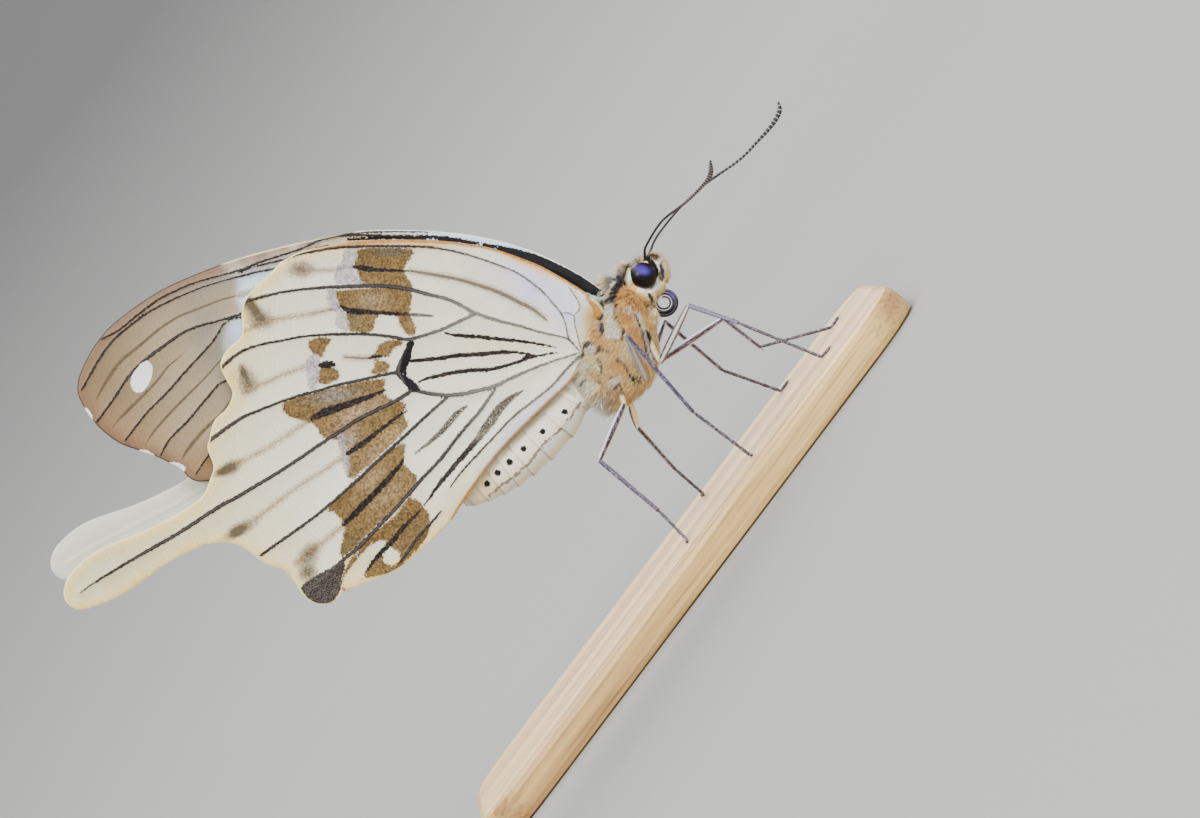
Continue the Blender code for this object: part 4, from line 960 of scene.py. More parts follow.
def wing_sheet(outline, veins, streaks):
    """A closed flat sheet in plan, one unit thick, its faces small along the edge, veins and streaks."""
    ring = closed_path(outline)
    edge = spaced(ring, EDGE_STEP)[:-1]
    close_lines = []
    for line in veins.values():
        path = spaced(smooth_path(line, 6), VEIN_STEP)
        close_lines.append((path[:, :2], VEIN_STEP * 0.6))
        for away in (-VEIN_FOOT, VEIN_FOOT):
            close_lines.append((beside(path, away), VEIN_FOOT * 0.6))
    for line in streaks.values():
        path = spaced(smooth_path(line, 6), STREAK_STEP)
        close_lines.append((path[:, :2], STREAK_STEP * 0.5))
    low, high = ring.min(axis=0), ring.max(axis=0)
    columns = np.arange(low[0], high[0], SHEET_GRID)
    rows = np.arange(low[1], high[1], SHEET_GRID * math.sqrt(0.75))
    grid = np.array([(u + (i % 2) * SHEET_GRID / 2, v) for i, v in enumerate(rows) for u in columns])
    groups = []
    for points, nearness in close_lines + [(grid, SHEET_GRID * 0.6)]:
        groups.append((points[ring_distance(points, ring) < -EDGE_CLEARANCE], nearness))
    points = edge.tolist() + thinned(groups)
    flat, _, faces, *_ = geometry.delaunay_2d_cdt(
        [Vector(point) for point in points], [], [list(range(len(edge)))], 1, CDT_NEARNESS
    )
    bm = bmesh.new()
    verts = [bm.verts.new((point.x, point.y, 0.0)) for point in flat]
    for face in faces:
        bm.faces.new([verts[i] for i in face])
    grown = bmesh.ops.extrude_face_region(bm, geom=bm.faces[:], use_keep_orig=True)
    inner = [item for item in grown["geom"] if isinstance(item, bmesh.types.BMVert)]
    bmesh.ops.translate(bm, vec=Vector((0.0, 0.0, 1.0)), verts=inner)
    bmesh.ops.recalc_face_normals(bm, faces=bm.faces)
    sheet = bpy.data.meshes.new("wing sheet")
    bm.to_mesh(sheet)
    bm.free()
    return sheet


def mesh_places(mesh):
    places = np.empty(len(mesh.vertices) * 3)
    mesh.vertices.foreach_get("co", places)
    return places.reshape(-1, 3)


def add_attribute(mesh, name, values):
    """A value for each vertex, or a colour given as rows of sRGB between 0 and 1."""
    if values.ndim == 1:
        mesh.attributes.new(name, "FLOAT", "POINT").data.foreach_set("value", values)
        return
    rows = np.column_stack((pigment(values), np.ones(len(values))))
    mesh.attributes.new(name, "FLOAT_COLOR", "POINT").data.foreach_set("color", rows.ravel())


def pigment(colour):
    """The reflectance, row by row, that shows in the picture as an sRGB colour between 0 and 1."""
    return np.clip(np.interp(np.asarray(colour) * 255, SHOWN, REFLECTED) @ SHOWN_TO_PIGMENT.T, 0.002, 0.92)


def washed(points, colours, washes, crisp=False):
    """The colours with each wash laid over them in turn, soft or with a crisp edge."""
    for *place, strength, colour in washes.values():
        share = blot(points, *place)
        if crisp:
            share = eased((share - 0.25) / 0.3)
        share = (share * strength)[:, None]
        colours += (np.array(colour, dtype=float) / 255 - colours) * share
    return colours


def wing_fields(kind, points, sheet_ring):
    """The marks of a wing as distances, in millimetres, negative inside each mark."""
    marks = WINGS[kind]

    def line(name, **options):
        return nearest_line(points, marks.get(name, {}), **options)

    def ring(name):
        return nearest_ring(points, marks.get(name, {}))

    def spots(places):
        return sum((blot(points, *place) for place in places), np.zeros(len(points)))

    fields = {
        "vein": line("veins"),
        "crest": line("veins", bare=True),
        "streak": line("streaks"),
        "brown_line": line("brown lines"),
        "brown": np.maximum(ring("brown"), -ring("cream")),
        "grey": ring("grey"),
        "dark": np.minimum(ring("dark"), line("dark lines")),
        # White spots, together with the painted highlight along the forewing's costa.
        "white": np.minimum(ring("white"), line("rim")),
        "tan": ring("border"),
        "orange": line("orange"),
        "smudge": spots(marks.get("smudges", {}).values()),
        "sparse": spots(SPARSE_STREAKS),
        "edge": -ring_distance(points, sheet_ring),
        "reach": np.hypot(*(points - RIB_CENTRE).T),
    }
    patch = np.tile(np.array(PATCH_BROWN) / 255, (len(points), 1))
    fields["patch"] = washed(points, patch, PATCH_WASHES)
    ground = np.tile(np.array(marks["ground"]) / 255, (len(points), 1))
    border = eased(0.5 - fields["tan"] / BORDER_SOFTNESS)[:, None]
    ground += (np.array(FOREWING_TAN) / 255 - ground) * border
    ground = washed(points, ground, marks["washes"])
    margin = np.exp(-((fields["edge"] / MARGIN_WIDTH) ** 2))
    margin = margin * eased((fields["reach"] - MARGIN_START) / MARGIN_RISE) * MARGIN_STRENGTH
    fields["ground"] = ground + (np.array(marks["margin"]) / 255 - ground) * margin[:, None]
    return fields


def add_wing(kind, name, side, sheet, fields, settings, finish):
    """A wing of one side. side is 1 on the animal's left and -1 on its right."""
    mesh = sheet.copy()
    mesh.name = name
    places = mesh_places(mesh)
    plan, inner = places[:, :2], places[:, 2]
    half = settings.thickness / MM / 2
    half = half * (EDGE_THINNESS + (1 - EDGE_THINNESS) * eased(fields["edge"] / EDGE_FADE))
    ridge = settings.vein_rise / MM * np.exp(-((fields["crest"] / VEIN_WIDTH) ** 2))
    hollow = PLEAT_DEPTH * (1 - np.exp(-((fields["crest"] / PLEAT_WIDTH) ** 2))) * eased(fields["edge"] / 2)
    outward = (half + ridge) * (1 - 2 * inner) - hollow
    mid = WINGS[kind]["spread"](plan)
    raised = LEFT_HINDWING_LIFT * (kind == "hindwing" and side > 0)
    lift = raised * eased((4.0 - plan[:, 1]) / 8.0)
    u = plan[:, 0] * np.cos(lift) + plan[:, 1] * np.sin(lift)
    v = plan[:, 1] * np.cos(lift) - plan[:, 0] * np.sin(lift)
    mesh.vertices.foreach_set("co", level(np.column_stack((u, v, (mid + outward) * side))).ravel())
    if side > 0:
        mesh.flip_normals()
    for field, values in fields.items():
        if field != "crest":
            add_attribute(mesh, field, values)
    add_attribute(mesh, "upper", inner)
    add_plan_map(mesh, plan, inner)
    mesh.materials.append(finish)
    mesh.shade_smooth()
    wing = bpy.data.objects.new(name, mesh)
    bpy.context.scene.collection.objects.link(wing)
    return wing


def add_plan_map(mesh, plan, inner):
    """The bake map of a wing: its outer face fills the left half of the square, its inner face the right."""
    size = (plan.max(axis=0) - plan.min(axis=0)).max() * (1 + MAP_MARGIN)
    square = (plan - plan.min(axis=0)) / size
    loops = np.empty(len(mesh.loops), dtype=int)
    mesh.loops.foreach_get("vertex_index", loops)
    sizes = np.empty(len(mesh.polygons), dtype=int)
    mesh.polygons.foreach_get("loop_total", sizes)
    starts = np.concatenate(([0], np.cumsum(sizes)[:-1]))
    wall = np.repeat(np.add.reduceat(inner[loops], starts) % sizes > 0, sizes)
    rows = square[loops] * (0.5 - MAP_WALL, 1.0 - MAP_WALL)
    rows[:, 0] += inner[loops] * 0.5
    turn = np.arctan2(*(square[loops] - square.mean(axis=0)).T) / (2 * math.pi) + 0.5
    band = np.column_stack((0.5 - MAP_WALL * (1 - 0.8 * inner[loops]), turn * (1.0 - MAP_WALL)))
    rows[wall] = band[wall]
    mesh.uv_layers.new(name="OFBake").data.foreach_set("uv", rows.ravel())

# Body

def side_plan(places):
    """Side plan rows of u and v, in millimetres, of world places in metres."""
    x = places[:, 0] / MM - ROOT_X
    z = places[:, 2] / MM - ROOT_HEIGHT
    u = x * math.cos(CLIMB_ANGLE) - z * math.sin(CLIMB_ANGLE)
    return np.column_stack((u, x * math.sin(CLIMB_ANGLE) + z * math.cos(CLIMB_ANGLE)))


def thorax_plan(s, t):
    """Side plan u and v of places along and across the thorax."""
    u = THORAX_CENTRE[0] + s * math.cos(BODY_ANGLE) + t * math.sin(BODY_ANGLE)
    return u, THORAX_CENTRE[1] + s * math.sin(BODY_ANGLE) - t * math.cos(BODY_ANGLE)


def lofted(rings):
    """A closed skin through rings of side plan points, rows of u, v and y, all of the same number."""
    count, sides = len(rings), len(rings[0])
    places = level(np.array(rings).reshape(-1, 3)).reshape(count, sides, 3)
    bm = bmesh.new()
    bmesh.ops.create_grid(bm, x_segments=count - 1, y_segments=sides, size=1.0)
    for vert in bm.verts:
        ring = round((vert.co.x + 1) / 2 * (count - 1))
        vert.co = places[ring, round((vert.co.y + 1) / 2 * sides) % sides]
    bmesh.ops.remove_doubles(bm, verts=bm.verts, dist=MICRO / 100)
    rims = [edge for edge in bm.edges if edge.is_boundary]
    ends = bmesh.ops.holes_fill(bm, edges=rims, sides=0)
    bmesh.ops.poke(bm, faces=ends["faces"])
    bmesh.ops.recalc_face_normals(bm, faces=bm.faces)
    return bm


def round_angles(sides):
    return np.arange(sides) * (2 * math.pi / sides)


def thorax_rings():
    turn = round_angles(BODY_SIDES)
    power = 2.0 / THORAX_SQUARENESS
    back = np.sign(np.cos(turn)) * np.abs(np.cos(turn)) ** power
    out = np.sign(np.sin(turn)) * np.abs(np.sin(turn)) ** power
    rings = []
    for s, high, low, half_width in smooth_path(THORAX_STATIONS, 4):
        middle = (high + BACK_COAT + low - BELLY_COAT) / 2
        depth = max((low - BELLY_COAT - high - BACK_COAT) / 2, NECK_RADIUS)
        u, v = thorax_plan(s, middle - depth * back)
        rings.append(np.column_stack((u, v, max(half_width - FLANK_COAT, NECK_RADIUS) * out)))
    return rings


def along_line(points, line):
    """How far along the line, in millimetres, the nearest place to each plan point lies."""
    lengths = np.concatenate(([0.0], np.cumsum(np.hypot(*np.diff(line[:, :2], axis=0).T))))
    best = np.full(len(points), FAR)
    found = np.zeros(len(points))
    for i, (a, b) in enumerate(zip(line, line[1:])):
        span = b[:2] - a[:2]
        share = np.clip((points - a[:2]) @ span / max(span @ span, TINY), 0.0, 1.0)
        away = np.hypot(*(points - a[:2] - share[:, None] * span).T)
        closer = away < best
        best[closer] = away[closer]
        found[closer] = (lengths[i] + share * (lengths[i + 1] - lengths[i]))[closer]
    return found


def abdomen_rings():
    """Segments that widen to their rear edge and step down to the next, most on the underside."""
    line = spaced(smooth_path(ABDOMEN_LINE, 6), ABDOMEN_RING_STEP)
    stations = along_line(line[:, :2], line)
    edges = np.concatenate(([0.0], along_line(np.array(SEGMENT_EDGES), line), [stations[-1] + 1.0]))
    directions = np.gradient(line[:, :2], axis=0)
    directions /= np.hypot(*directions.T)[:, None]
    turn = round_angles(BODY_SIDES)
    under = (1 - np.cos(turn)) / 2
    rings = []
    for (u, v, radius), station, (du, dv) in zip(line, stations, directions):
        segment = np.searchsorted(edges, station, "right") - 1
        share = (station - edges[segment]) / (edges[segment + 1] - edges[segment])
        across = (radius - SCALE_COAT) * (1 + SEGMENT_SWELL * (0.35 + 0.65 * under) * (share ** 2 - 0.55))
        back = np.cos(turn) * across
        rings.append(np.column_stack((u + dv * back, v - du * back, np.sin(turn) * across)))
    return rings


def tube_rings(line, sides):
    """Round rings across a line of u, v, y and radius, without twist."""
    along = np.gradient(line[:, :3], axis=0)
    along /= np.linalg.norm(along, axis=1)[:, None]
    across = np.cross(along[0], (0.3, 0.5, 0.8))
    angles = round_angles(sides)
    rings = []
    for centre, direction, radius in zip(line[:, :3], along, line[:, 3]):
        across = across - direction * (across @ direction)
        across /= np.linalg.norm(across)
        other = np.cross(direction, across)
        rings.append(centre + (np.outer(np.cos(angles), across) + np.outer(np.sin(angles), other)) * radius)
    return rings


def body_ball(centre, radii, rows=20):
    """A ball in the body's axes: centre u, v and y, radii along, across and sideways."""
    bm = bmesh.new()
    bmesh.ops.create_uvsphere(bm, u_segments=rows * 2, v_segments=rows, radius=1.0)
    for vert in bm.verts:
        a, b, c = vert.co
        u = centre[0] + a * radii[0] * math.cos(BODY_ANGLE) + b * radii[1] * math.sin(BODY_ANGLE)
        v = centre[1] + a * radii[0] * math.sin(BODY_ANGLE) - b * radii[1] * math.cos(BODY_ANGLE)
        vert.co = level([(u, v, centre[2] + c * radii[2])])[0]
    bmesh.ops.recalc_face_normals(bm, faces=bm.faces)
    return bm


def joined(parts):
    """One bmesh of many, which are used up."""
    whole = bmesh.new()
    for part in parts:
        mesh = bpy.data.meshes.new("part")
        part.to_mesh(mesh)
        part.free()
        whole.from_mesh(mesh)
        bpy.data.meshes.remove(mesh)
    return whole


def body_fields(places):
    """Colour and marks of the body, the same for the skin and for the hairs rooted there."""
    plan = side_plan(places)
    ground = washed(plan, np.tile(np.array(BODY_GROUND) / 255, (len(plan), 1)), BODY_WASHES, True)
    below = eased(0.5 - ring_distance(plan, closed_path(UNDERSIDE, 1)) / 0.3)[:, None]
    ripple = RIPPLE_DEPTH * np.abs(np.sin(plan @ RIPPLE_WAVES)) * below[:, 0]
    ground += (np.array(UNDERSIDE_COLOUR) / 255 - ground) * below * 0.9
    line = spaced(smooth_path(ABDOMEN_LINE, 6), ABDOMEN_RING_STEP)
    station = along_line(plan, line)
    edges = along_line(np.array(SEGMENT_EDGES), line)
    groove = np.min([np.abs(station + ripple - edge) for edge in edges], axis=0)
    spiracles = np.min([np.hypot(*(plan - place).T) for place in np.array(SPIRACLES)], axis=0)
    return {
        "ground": ground + (1 - ground) * COAT_LIFT,
        "black": np.minimum(nearest_line(plan, BODY_BLACK), spiracles - SPIRACLE_RADIUS),
        "flank_line": line_distance(plan, smooth_path(FLANK_LINE, 4)),
        "groove": groove + 2 * (station < FIRST_GROOVE) + 0.05 * (1 - below[:, 0]),
    }


def build_skin(settings):
    """One skin over the head, palps, thorax, hips and abdomen, inside the solids by the coat's depth."""
    parts = [lofted(thorax_rings()), lofted(abdomen_rings())]
    parts.append(body_ball((*HEAD_CENTRE, 0.0), [radius - HEAD_COAT for radius in HEAD_RADII]))
    for side in (-1, 1):
        parts.append(lofted(tube_rings(smooth_path(PALP_LINE, 5) * (1, 1, side, 1), 12)))
        for u, v, y, *radii in BODY_BULGES.values():
            parts.append(body_ball((u, v, y * side), radii))
    skin = add_piece("body_skin", joined(parts), body_finish("body skin", settings))
    remesh = skin.modifiers.new("one skin", "REMESH")
    remesh.mode = "VOXEL"
    remesh.voxel_size = SKIN_VOXEL * MM
    remesh.use_smooth_shade = True
    graph = bpy.context.evaluated_depsgraph_get()
    mesh = bpy.data.meshes.new_from_object(skin.evaluated_get(graph))
    skin.modifiers.clear()
    skin.data = mesh
    bm = bmesh.new()
    bm.from_mesh(mesh)
    for _ in range(SKIN_SMOOTHING):
        bmesh.ops.smooth_vert(
            bm, verts=bm.verts, factor=0.5, use_axis_x=True, use_axis_y=True, use_axis_z=True,
        )
    bm.to_mesh(mesh)
    bm.free()
    for name, values in body_fields(mesh_places(mesh)).items():
        add_attribute(mesh, name, values)
    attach(skin, "root")
    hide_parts("head", "thorax", "abdomen", "palp_left", "palp_right")


# Coat

def blade():
    """Vertices and triangles of a closed three-sided blade: x across, y through, z along it from 0 to 1."""
    bm = bmesh.new()
    bmesh.ops.create_cone(bm, cap_ends=True, segments=3, radius1=1.0, radius2=0.0, depth=1.0)
    bmesh.ops.remove_doubles(bm, verts=bm.verts, dist=MICRO)
    bmesh.ops.translate(bm, vec=Vector((0.0, 0.0, 0.5)), verts=bm.verts)
    middle = Vector((0.0, 0.0, BLADE_WAIST))
    whole = bm.verts[:] + bm.edges[:] + bm.faces[:]
    bmesh.ops.bisect_plane(bm, geom=whole, plane_co=middle, plane_no=(0, 0, 1))
    for vert in bm.verts:
        if abs(vert.co.z - BLADE_WAIST) < MICRO:
            vert.co.xy *= BLADE_WAIST_WIDTH
    bmesh.ops.triangulate(bm, faces=bm.faces)
    bmesh.ops.recalc_face_normals(bm, faces=bm.faces)
    bm.verts.index_update()
    verts = np.array([vert.co for vert in bm.verts])
    faces = np.array([[vert.index for vert in face.verts] for face in bm.faces])
    bm.free()
    return verts, faces


def skin_roots(skin, count, seed):
    """Random places on the skin, evenly spread, with the skin's direction outwards there."""
    mesh = skin.data
    mesh.calc_loop_triangles()
    corners = np.empty(len(mesh.loop_triangles) * 3, dtype=int)
    mesh.loop_triangles.foreach_get("vertices", corners)
    corners = corners.reshape(-1, 3)
    places = mesh_places(mesh)
    a, b, c = (places[corners[:, i]] for i in range(3))
    normals = np.empty(len(mesh.vertices) * 3)
    mesh.vertices.foreach_get("normal", normals)
    normals = normals.reshape(-1, 3)
    area = np.linalg.norm(np.cross(b - a, c - a), axis=1)
    dice = np.random.default_rng(seed)
    chosen = dice.choice(len(corners), count, p=area / area.sum())
    share = np.sqrt(dice.random(count))
    turn = dice.random(count)
    weights = np.column_stack((1 - share, share * (1 - turn), share * turn))
    roots = np.einsum("ij,ijk->ik", weights, places[corners[chosen]])
    outward = np.einsum("ij,ijk->ik", weights, normals[corners[chosen]])
    return roots, outward / np.linalg.norm(outward, axis=1)[:, None]


def unit(rows):
    return rows / np.maximum(np.linalg.norm(rows, axis=1), TINY)[:, None]


def world_direction(plan):
    """World directions of rows of plan directions u, v and y."""
    return level(plan) - level([(0.0, 0.0, 0.0)])


def add_coat(name, roots, outward, lie, length, width, lift, tip_share, unwrap, finish, seed):
    """A joined mesh of blades. Sizes are in millimetres, lie is in the world, unwrap holds map places."""
    dice = np.random.default_rng(seed)
    shape, faces = blade()
    count = len(roots)
    lie = unit(lie + dice.normal(0.0, LIE_SCATTER, (count, 3)) * np.linalg.norm(lie, axis=1)[:, None])
    lie = unit(lie - outward * np.einsum("ij,ij->i", lie, outward)[:, None])
    across = np.cross(lie, outward)
    x, y, z = shape.T
    length = (length * dice.uniform(*LENGTH_SPREAD, count))[:, None, None] * MM
    width = (width * dice.uniform(*WIDTH_SPREAD, count))[:, None, None] * MM
    lift = (lift * dice.uniform(*LIFT_SPREAD, count))[:, None, None]
    z = z[None, :, None]
    rise = outward[:, None, :] * (z * lift * (1 - BLADE_DROOP * z))
    path = (lie[:, None, :] * z + rise) * length
    body = across[:, None, :] * x[None, :, None] * width
    body = body + outward[:, None, :] * y[None, :, None] * width * BLADE_FLATNESS
    sunk = outward[:, None, :] * ROOT_DEPTH * MM
    places = (roots[:, None, :] - sunk + path + body).reshape(-1, 3)
    steps = len(shape) * np.arange(count)[:, None, None]
    triangles = (faces[None] + steps).reshape(-1, 3)
    mesh = bpy.data.meshes.new(name)
    mesh.vertices.add(len(places))
    mesh.vertices.foreach_set("co", places.ravel())
    mesh.loops.add(triangles.size)
    mesh.loops.foreach_set("vertex_index", triangles.ravel())
    mesh.polygons.add(len(triangles))
    mesh.polygons.foreach_set("loop_start", np.arange(len(triangles)) * 3)
    mesh.update(calc_edges=True)
    heights, height_of = np.unique(shape[:, 2], return_inverse=True)
    steps = heights[None, :, None]
    rise = outward[:, None, :] * steps * lift * (1 - BLADE_DROOP * steps)
    spine = roots[:, None, :] + (lie[:, None, :] * steps + rise) * length
    spine += dice.normal(0.0, MARK_SCATTER * MM, (count, 1, 3))
    for field, values in body_fields(spine.reshape(-1, 3)).items():
        rows = values.reshape(count, len(heights), *values.shape[1:])[:, height_of]
        add_attribute(mesh, field, rows.reshape(-1, *values.shape[1:]))
    add_attribute(mesh, "tip", np.tile(shape[:, 2], count))
    add_attribute(mesh, "tone", np.repeat(dice.random(count), len(shape)))
    add_attribute(mesh, "tip_share", np.repeat(tip_share, len(shape)))
    spread = shape[:, :2] * (1.02 - shape[:, 2:3]) * MAP_PATCH
    rows = (unwrap[:, None, :] + spread[None]).reshape(-1, 2)
    mesh.uv_layers.new(name="OFBake").data.foreach_set("uv", rows[triangles.ravel()].ravel())
    mesh.materials.append(finish)
    mesh.shade_smooth()
    coat = bpy.data.objects.new(name, mesh)
    bpy.context.scene.collection.objects.link(coat)
    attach(coat, "root")
    return coat


def body_unwrap(places):
    """The skin slit along its belly and laid flat: across is round the body, up runs from tail to head."""
    plan = side_plan(places)
    y = places[:, 1] / MM
    spine = np.array(SPINE)
    rows = spaced(smooth_path(spine, 6), 0.2)
    station = along_line(plan, rows)
    lengths = np.concatenate(([0.0], np.cumsum(np.hypot(*np.diff(rows, axis=0).T))))
    centre = np.column_stack([np.interp(station, lengths, column) for column in rows.T])
    ahead = np.column_stack([np.interp(station + 0.2, lengths, column) for column in rows.T]) - centre
    behind = centre - np.column_stack([np.interp(station - 0.2, lengths, column) for column in rows.T])
    ahead = unit(ahead + behind)
    offset = plan - centre
    back = offset[:, 0] * ahead[:, 1] - offset[:, 1] * ahead[:, 0]
    turn = np.arctan2(y, back) / (2 * math.pi) + 0.5
    station = station + np.einsum("ij,ij->i", offset, ahead) * (station <= 0.01)
    up = station / lengths[-1]
    return np.clip(np.column_stack((turn, up)) * 0.98 + 0.01, 0.005, 0.995)


def build_coat(settings):
    """Hairs of the thorax, head and palps, and scales of the abdomen."""
    skin = bpy.data.objects["body_skin"]
    finish = body_finish("body hair", settings, True)
    roots, outward = skin_roots(skin, round(settings.tufts), COAT_SEED)
    plan = side_plan(roots)
    y = roots[:, 1] / MM
    line = spaced(smooth_path(ABDOMEN_LINE, 6), ABDOMEN_RING_STEP)
    station = along_line(plan, line)
    beyond = (plan - line[0, :2]) @ unit(line[1:2, :2] - line[:1, :2])[0]
    run, drop = math.cos(BODY_ANGLE), math.sin(BODY_ANGLE)
    axes = np.array([(run, drop), (drop, -run)])
    s, t = ((plan - THORAX_CENTRE) @ axes.T).T
    head = s > HEAD_START
    abdomen = (beyond > 0.4) & (station > 0.5) & (s < -5.2) | (s < -7.0)
    palp = head & (plan[:, 0] > 6.1 - 0.1 * plan[:, 1])
    thorax = ~head & ~abdomen
    ahead = np.gradient(line[:, :2], axis=0)
    lengths = np.concatenate(([0.0], np.cumsum(np.hypot(*np.diff(line[:, :2], axis=0).T))))
    tailward = np.column_stack([np.interp(station, lengths, column) for column in ahead.T])
    backward = np.tile((-math.cos(BODY_ANGLE), -math.sin(BODY_ANGLE)), (len(roots), 1))
    belly = eased((t - 1.2) / 2.0)
    backward = backward + belly[:, None] * np.array((0.35, -0.25))
    forward = np.tile((0.45, 0.9), (len(roots), 1)) * np.where(plan[:, 1] > 0.6, 1, -0.6)[:, None]
    crown = eased((plan[:, 1] - 1.2) / 1.2) * eased((4.4 - plan[:, 0]) / 0.8)
    away = unit(plan - HEAD_CENTRE)
    rim = np.hypot((plan[:, 0] - EYE_CENTRE[0]) / EYE_RADII[0], (plan[:, 1] - EYE_CENTRE[1]) / EYE_RADII[1])
    by_eye = head & (rim < 1.4) & (np.abs(y) > 0.5)
    forward = forward * (1 - crown[:, None]) + away * crown[:, None]
    forward = np.where(by_eye[:, None], unit(plan - np.array(EYE_CENTRE[:2])), forward)
    waist = abdomen & (station < WAIST_LENGTH) & (plan[:, 1] < -9.4)
    scales = abdomen & ~waist
    under = eased((t - 2.0) / 1.4)
    rear = eased((-s - 3.4) / 1.5) * eased((t + 0.6) / 1.6)
    front = eased((s - 2.6) / 1.6) * eased((-t - 0.2) / 1.4)
    backward = backward + (np.array((-0.35, -1.1)) - backward) * rear[:, None] * 0.8
    fringe = np.tile((-0.5, -0.8), (len(roots), 1))
    lie = np.where(abdomen[:, None], unit(tailward), np.where(head[:, None], forward, backward))
    lie = np.where(waist[:, None], fringe, lie)
    lie = world_direction(np.column_stack((lie, 0.12 * np.sign(y))))

    def by_region(sizes, on_thorax, on_head):
        return np.where(scales, sizes.get("scale", 0.0), np.where(head, on_head, on_thorax))

    sizes = HAIR_LENGTH
    on_thorax = sizes["thorax"] + sizes["under"] * under + sizes["rear"] * rear + sizes["front"] * front
    on_thorax = np.where(waist, sizes["waist"] - sizes["waist fade"] * station, on_thorax)
    on_head = np.where(by_eye, sizes["by eye"], sizes["head"] + sizes["crown"] * crown)
    length = by_region(sizes, on_thorax, on_head)
    width = by_region(HAIR_WIDTH, HAIR_WIDTH["thorax"], HAIR_WIDTH["head"])
    sizes = HAIR_LIFT
    on_thorax = sizes["thorax"] + sizes["under"] * under + sizes["rear"] * rear + sizes["front"] * front
    on_head = np.where(by_eye, sizes["by eye"], sizes["head"] + sizes["crown"] * crown)
    lift = by_region(sizes, on_thorax, on_head)
    sizes = HAIR_TIPS
    on_thorax = sizes["thorax"] + sizes["under"] * under
    tips = by_region(sizes, on_thorax, sizes["head"] + sizes["crown"] * crown)
    shown = ~(head & (rim < 1.0) & (np.abs(y) > 0.6))
    unwrap = body_unwrap(roots)
    covered = thorax & (np.abs(y) < 3.2) & (plan[:, 0] < -0.6) & (plan[:, 1] > -4.6)
    flank = thorax & ~covered & (t < BELLY_START)
    groups = {
        "thorax_hair_right": (flank & (y < 0), "thorax_hair"),
        "thorax_hair_left": (flank & (y >= 0), "thorax_hair"),
        "belly_hair": (thorax & ~covered & (t >= BELLY_START), "thorax_hair"),
        "head_hair": (head & ~palp, "head_hair"),
        "palp_hair": (palp, "head_hair"),
        "abdomen_scales_right": (abdomen & (y < 0), "abdomen_scales"),
        "abdomen_scales_left": (abdomen & (y >= 0), "abdomen_scales"),
    }
    for seed, (name, (chosen, slot)) in enumerate(groups.items()):
        chosen = chosen & shown
        add_coat(
            name, roots[chosen], outward[chosen], lie[chosen], length[chosen], width[chosen], lift[chosen],
            tips[chosen], unwrap[chosen], finish, seed,
        )


# Eyes, feelers, tongue

def build_eyes(settings):
    finish = eye_finish(settings)
    for side, name in ((1, "left"), (-1, "right")):
        bm = body_ball((*EYE_CENTRE[:2], EYE_CENTRE[2] * side), EYE_RADII, 32)
        inner = Vector((0.0, EYE_INNER_FACE * side * MM, 0.0))
        cut = bmesh.ops.bisect_plane(
            bm, geom=bm.verts[:] + bm.edges[:] + bm.faces[:], plane_co=inner, plane_no=(0, -side, 0),
            clear_outer=True,
        )
        rim = [item for item in cut["geom_cut"] if isinstance(item, bmesh.types.BMEdge)]
        bmesh.ops.edgeloop_fill(bm, edges=rim)
        bmesh.ops.recalc_face_normals(bm, faces=bm.faces)
        eye = add_piece("eye_" + name + "_facets", bm, finish)
        plan = side_plan(mesh_places(eye.data))
        # Where the painted sheen lies: a violet-blue highlight laid on the eye's upper part.
        add_attribute(eye.data, "sheen", blot(plan, 4.4, 2.0, 0.95, 0.62, -0.3))
        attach(eye, "root")
        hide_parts("eye_" + name)


def line_length(path):
    return np.concatenate(([0.0], np.cumsum(np.linalg.norm(np.diff(path[:, :3], axis=0), axis=1))))


def evenly(path, step):
    """The path's rows at about equal distances in space."""
    lengths = line_length(path)
    goals = np.linspace(0.0, lengths[-1], max(2, round(lengths[-1] / step) + 1))
    return np.column_stack([np.interp(goals, lengths, column) for column in path.T])


def build_feelers(settings):
    finish = feeler_finish(settings)
    for name, line in ANTENNA_LINES.items():
        path = evenly(smooth_path(line, 8), FEELER_STEP)
        path[:, 3] *= FEELER_RINGS[np.arange(len(path)) % len(FEELER_RINGS)]
        bm = lofted(tube_rings(path, 12))
        feeler = add_piece("antenna_" + name + "_ringed", bm, finish)
        plan = side_plan(mesh_places(feeler.data))
        whole = along_line(path[-1:, :2], path[:, :2])[0]
        add_attribute(feeler.data, "station", along_line(plan, path[:, :2]) / whole)
        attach(feeler, "root")
        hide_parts("antenna_" + name)


def coil_path():
    share = np.linspace(0.0, 1.0, COIL_STEPS)
    turn = COIL_START + 2 * math.pi * COIL_TURNS * share
    radius = COIL_RADIUS + (COIL_INNER_RADIUS - COIL_RADIUS) * share
    u = COIL_CENTRE[0] + radius * np.cos(turn)
    v = COIL_CENTRE[1] + radius * np.sin(turn)
    y = COIL_LEAN * np.sin(turn) + COIL_PITCH * (share - 0.5)
    coil = np.column_stack((u, v, y, COIL_TUBE - COIL_TAPER * share ** 0.7))
    first = np.array([(*COIL_ROOT, -0.15, 0.2), (5.35, 0.1, -0.15, 0.22)])
    return evenly(smooth_path(np.vstack((first, coil)), 3), COIL_STEP)


def build_tongue(settings):
    path = coil_path()
    path[:, 3] *= np.where(np.arange(len(path)) % 2, 1.03, 0.97)
    tongue = add_piece("proboscis_coil", lofted(tube_rings(path, 14)), tongue_finish(settings))
    plan = side_plan(mesh_places(tongue.data))
    # Painted highlight: a violet sheen laid as colour on one side of the coil.
    sheen = blot(plan, COIL_CENTRE[0] + 0.7, COIL_CENTRE[1] + 0.9, 0.8, 0.5, -0.7)
    add_attribute(tongue.data, "sheen", sheen)
    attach(tongue, "root")
    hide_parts("proboscis")


# Legs

